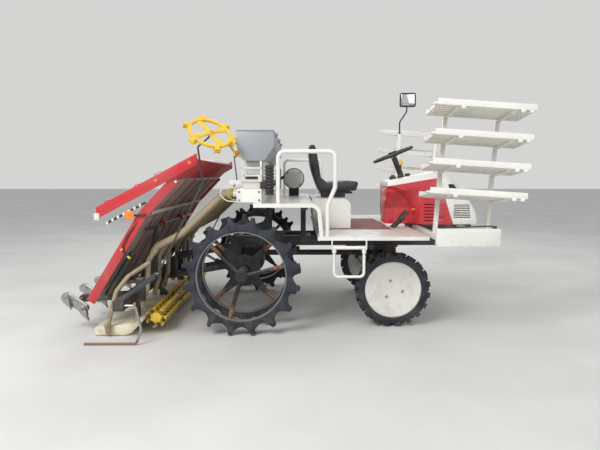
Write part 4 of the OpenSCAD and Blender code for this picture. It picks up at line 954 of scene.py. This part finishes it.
for k in range(tableEnd["clips"]):
    x, z = (first + k * step for first, step in zip(tableEnd["clipFirst"], tableEnd["clipStep"]))
    whites.append(box("clip", (x - 8, -955, z - 10), (x + 8, -933, z + 10), 3))
finished(bothSides("tableWhites", whites), "white_plastic", "seedling_table")
arms = [box("arm", *tableEnd["arm"]), tube("strip", tableEnd["strip"], 8, 2)]
finished(bothSides("tableArms", arms), "black_plastic", "seedling_table", 50)

cords = {  # loops beside the applicator: places in mm, diameter, finish
    "signalCable": ([(-19, -893, 1030), (-60, -893, 1062), (-112, -893, 1060), (-134, -893, 1015),
                     (-92, -893, 968), (-21, -893, 962)], 8, "cableWhite"),
    "leverCable": ([(-19, -868, 1035), (-42, -868, 1052), (-74, -868, 1046), (-86, -868, 1008),
                    (-62, -868, 978), (-21, -868, 972)], 6, "cableLime"),
}
for name, (points, diameter, finish) in cords.items():
    line = smoothLine(points, 8)
    cord = finished(tube(name, line, diameter / 2, 2), finish, "chassis", 60)
    route = [at(*p) for p in line]
print("cables hung")

shot = {"place": (0.077, -4.355, 1.137), "down": 5.6, "right": math.degrees(math.atan(4 / 500)), "lens": 30,
        "sensor": 36}
turn = (math.radians(90 - shot["down"]), 0, math.radians(-shot["right"]))
bpy.ops.object.camera_add(location=shot["place"], rotation=turn)
camera = bpy.context.active_object
camera.data.lens = shot["lens"]
camera.data.sensor_width = shot["sensor"]
bpy.context.scene.camera = camera

floor = {"size": 60, "middle": (0, 10, 0), "colours": ((0.62, 0.615, 0.6, 1), (0.68, 0.675, 0.66, 1))}
bpy.ops.mesh.primitive_plane_add(size=floor["size"], location=floor["middle"])
ground = bpy.context.active_object
ground.name = "ground"
concrete = Finish("concrete", {"Specular IOR Level": 0.2})
patches = concrete.tint(concrete.spread(concrete.noise(1.3, 6)), *floor["colours"])
ground.data.materials.append(concrete.done({"Base Color": patches,
                                            "Roughness": 0.7 + concrete.noise(20, 4) * 0.2}))
lights = {  # softboxes: place, size in metres, watts
    "key": ((-2.8, -4.6, 4.8), 2.6, 290),
    "fill": ((4.2, -4.4, 3.2), 4.0, 60),
    "back": ((0.5, 4.8, 4.4), 4.5, 110),
}
for name, (place, size, watts) in lights.items():
    aim = (Vector((0, 0, 0.8)) - Vector(place)).to_track_quat("-Z", "Y").to_euler()
    bpy.ops.object.light_add(type="AREA", location=place, rotation=aim)
    lamp = bpy.context.active_object
    lamp.name = name
    lamp.data.size = size
    lamp.data.energy = watts

studio = {"air": (0.8, 0.81, 0.82, 1), "strength": 0.72, "seen": (0.66, 0.66, 0.66 * 0.985, 1)}
world = bpy.data.worlds.new("studio")
bpy.context.scene.world = world
world.use_nodes = True
sky = world.node_tree
air = sky.nodes["Background"]
air.inputs["Color"].default_value = studio["air"]
air.inputs["Strength"].default_value = studio["strength"]
seen = sky.nodes.new("ShaderNodeBackground")  # what the camera sees behind the floor
seen.inputs["Color"].default_value = studio["seen"]
which = sky.nodes.new("ShaderNodeMixShader")
sky.links.new(sky.nodes.new("ShaderNodeLightPath").outputs["Is Camera Ray"], which.inputs[0])
sky.links.new(air.outputs[0], which.inputs[1])
sky.links.new(seen.outputs[0], which.inputs[2])
sky.links.new(which.outputs[0], sky.nodes["World Output"].inputs["Surface"])
bpy.context.scene.view_settings.view_transform = "Standard"
print("camera, lights and ground set")
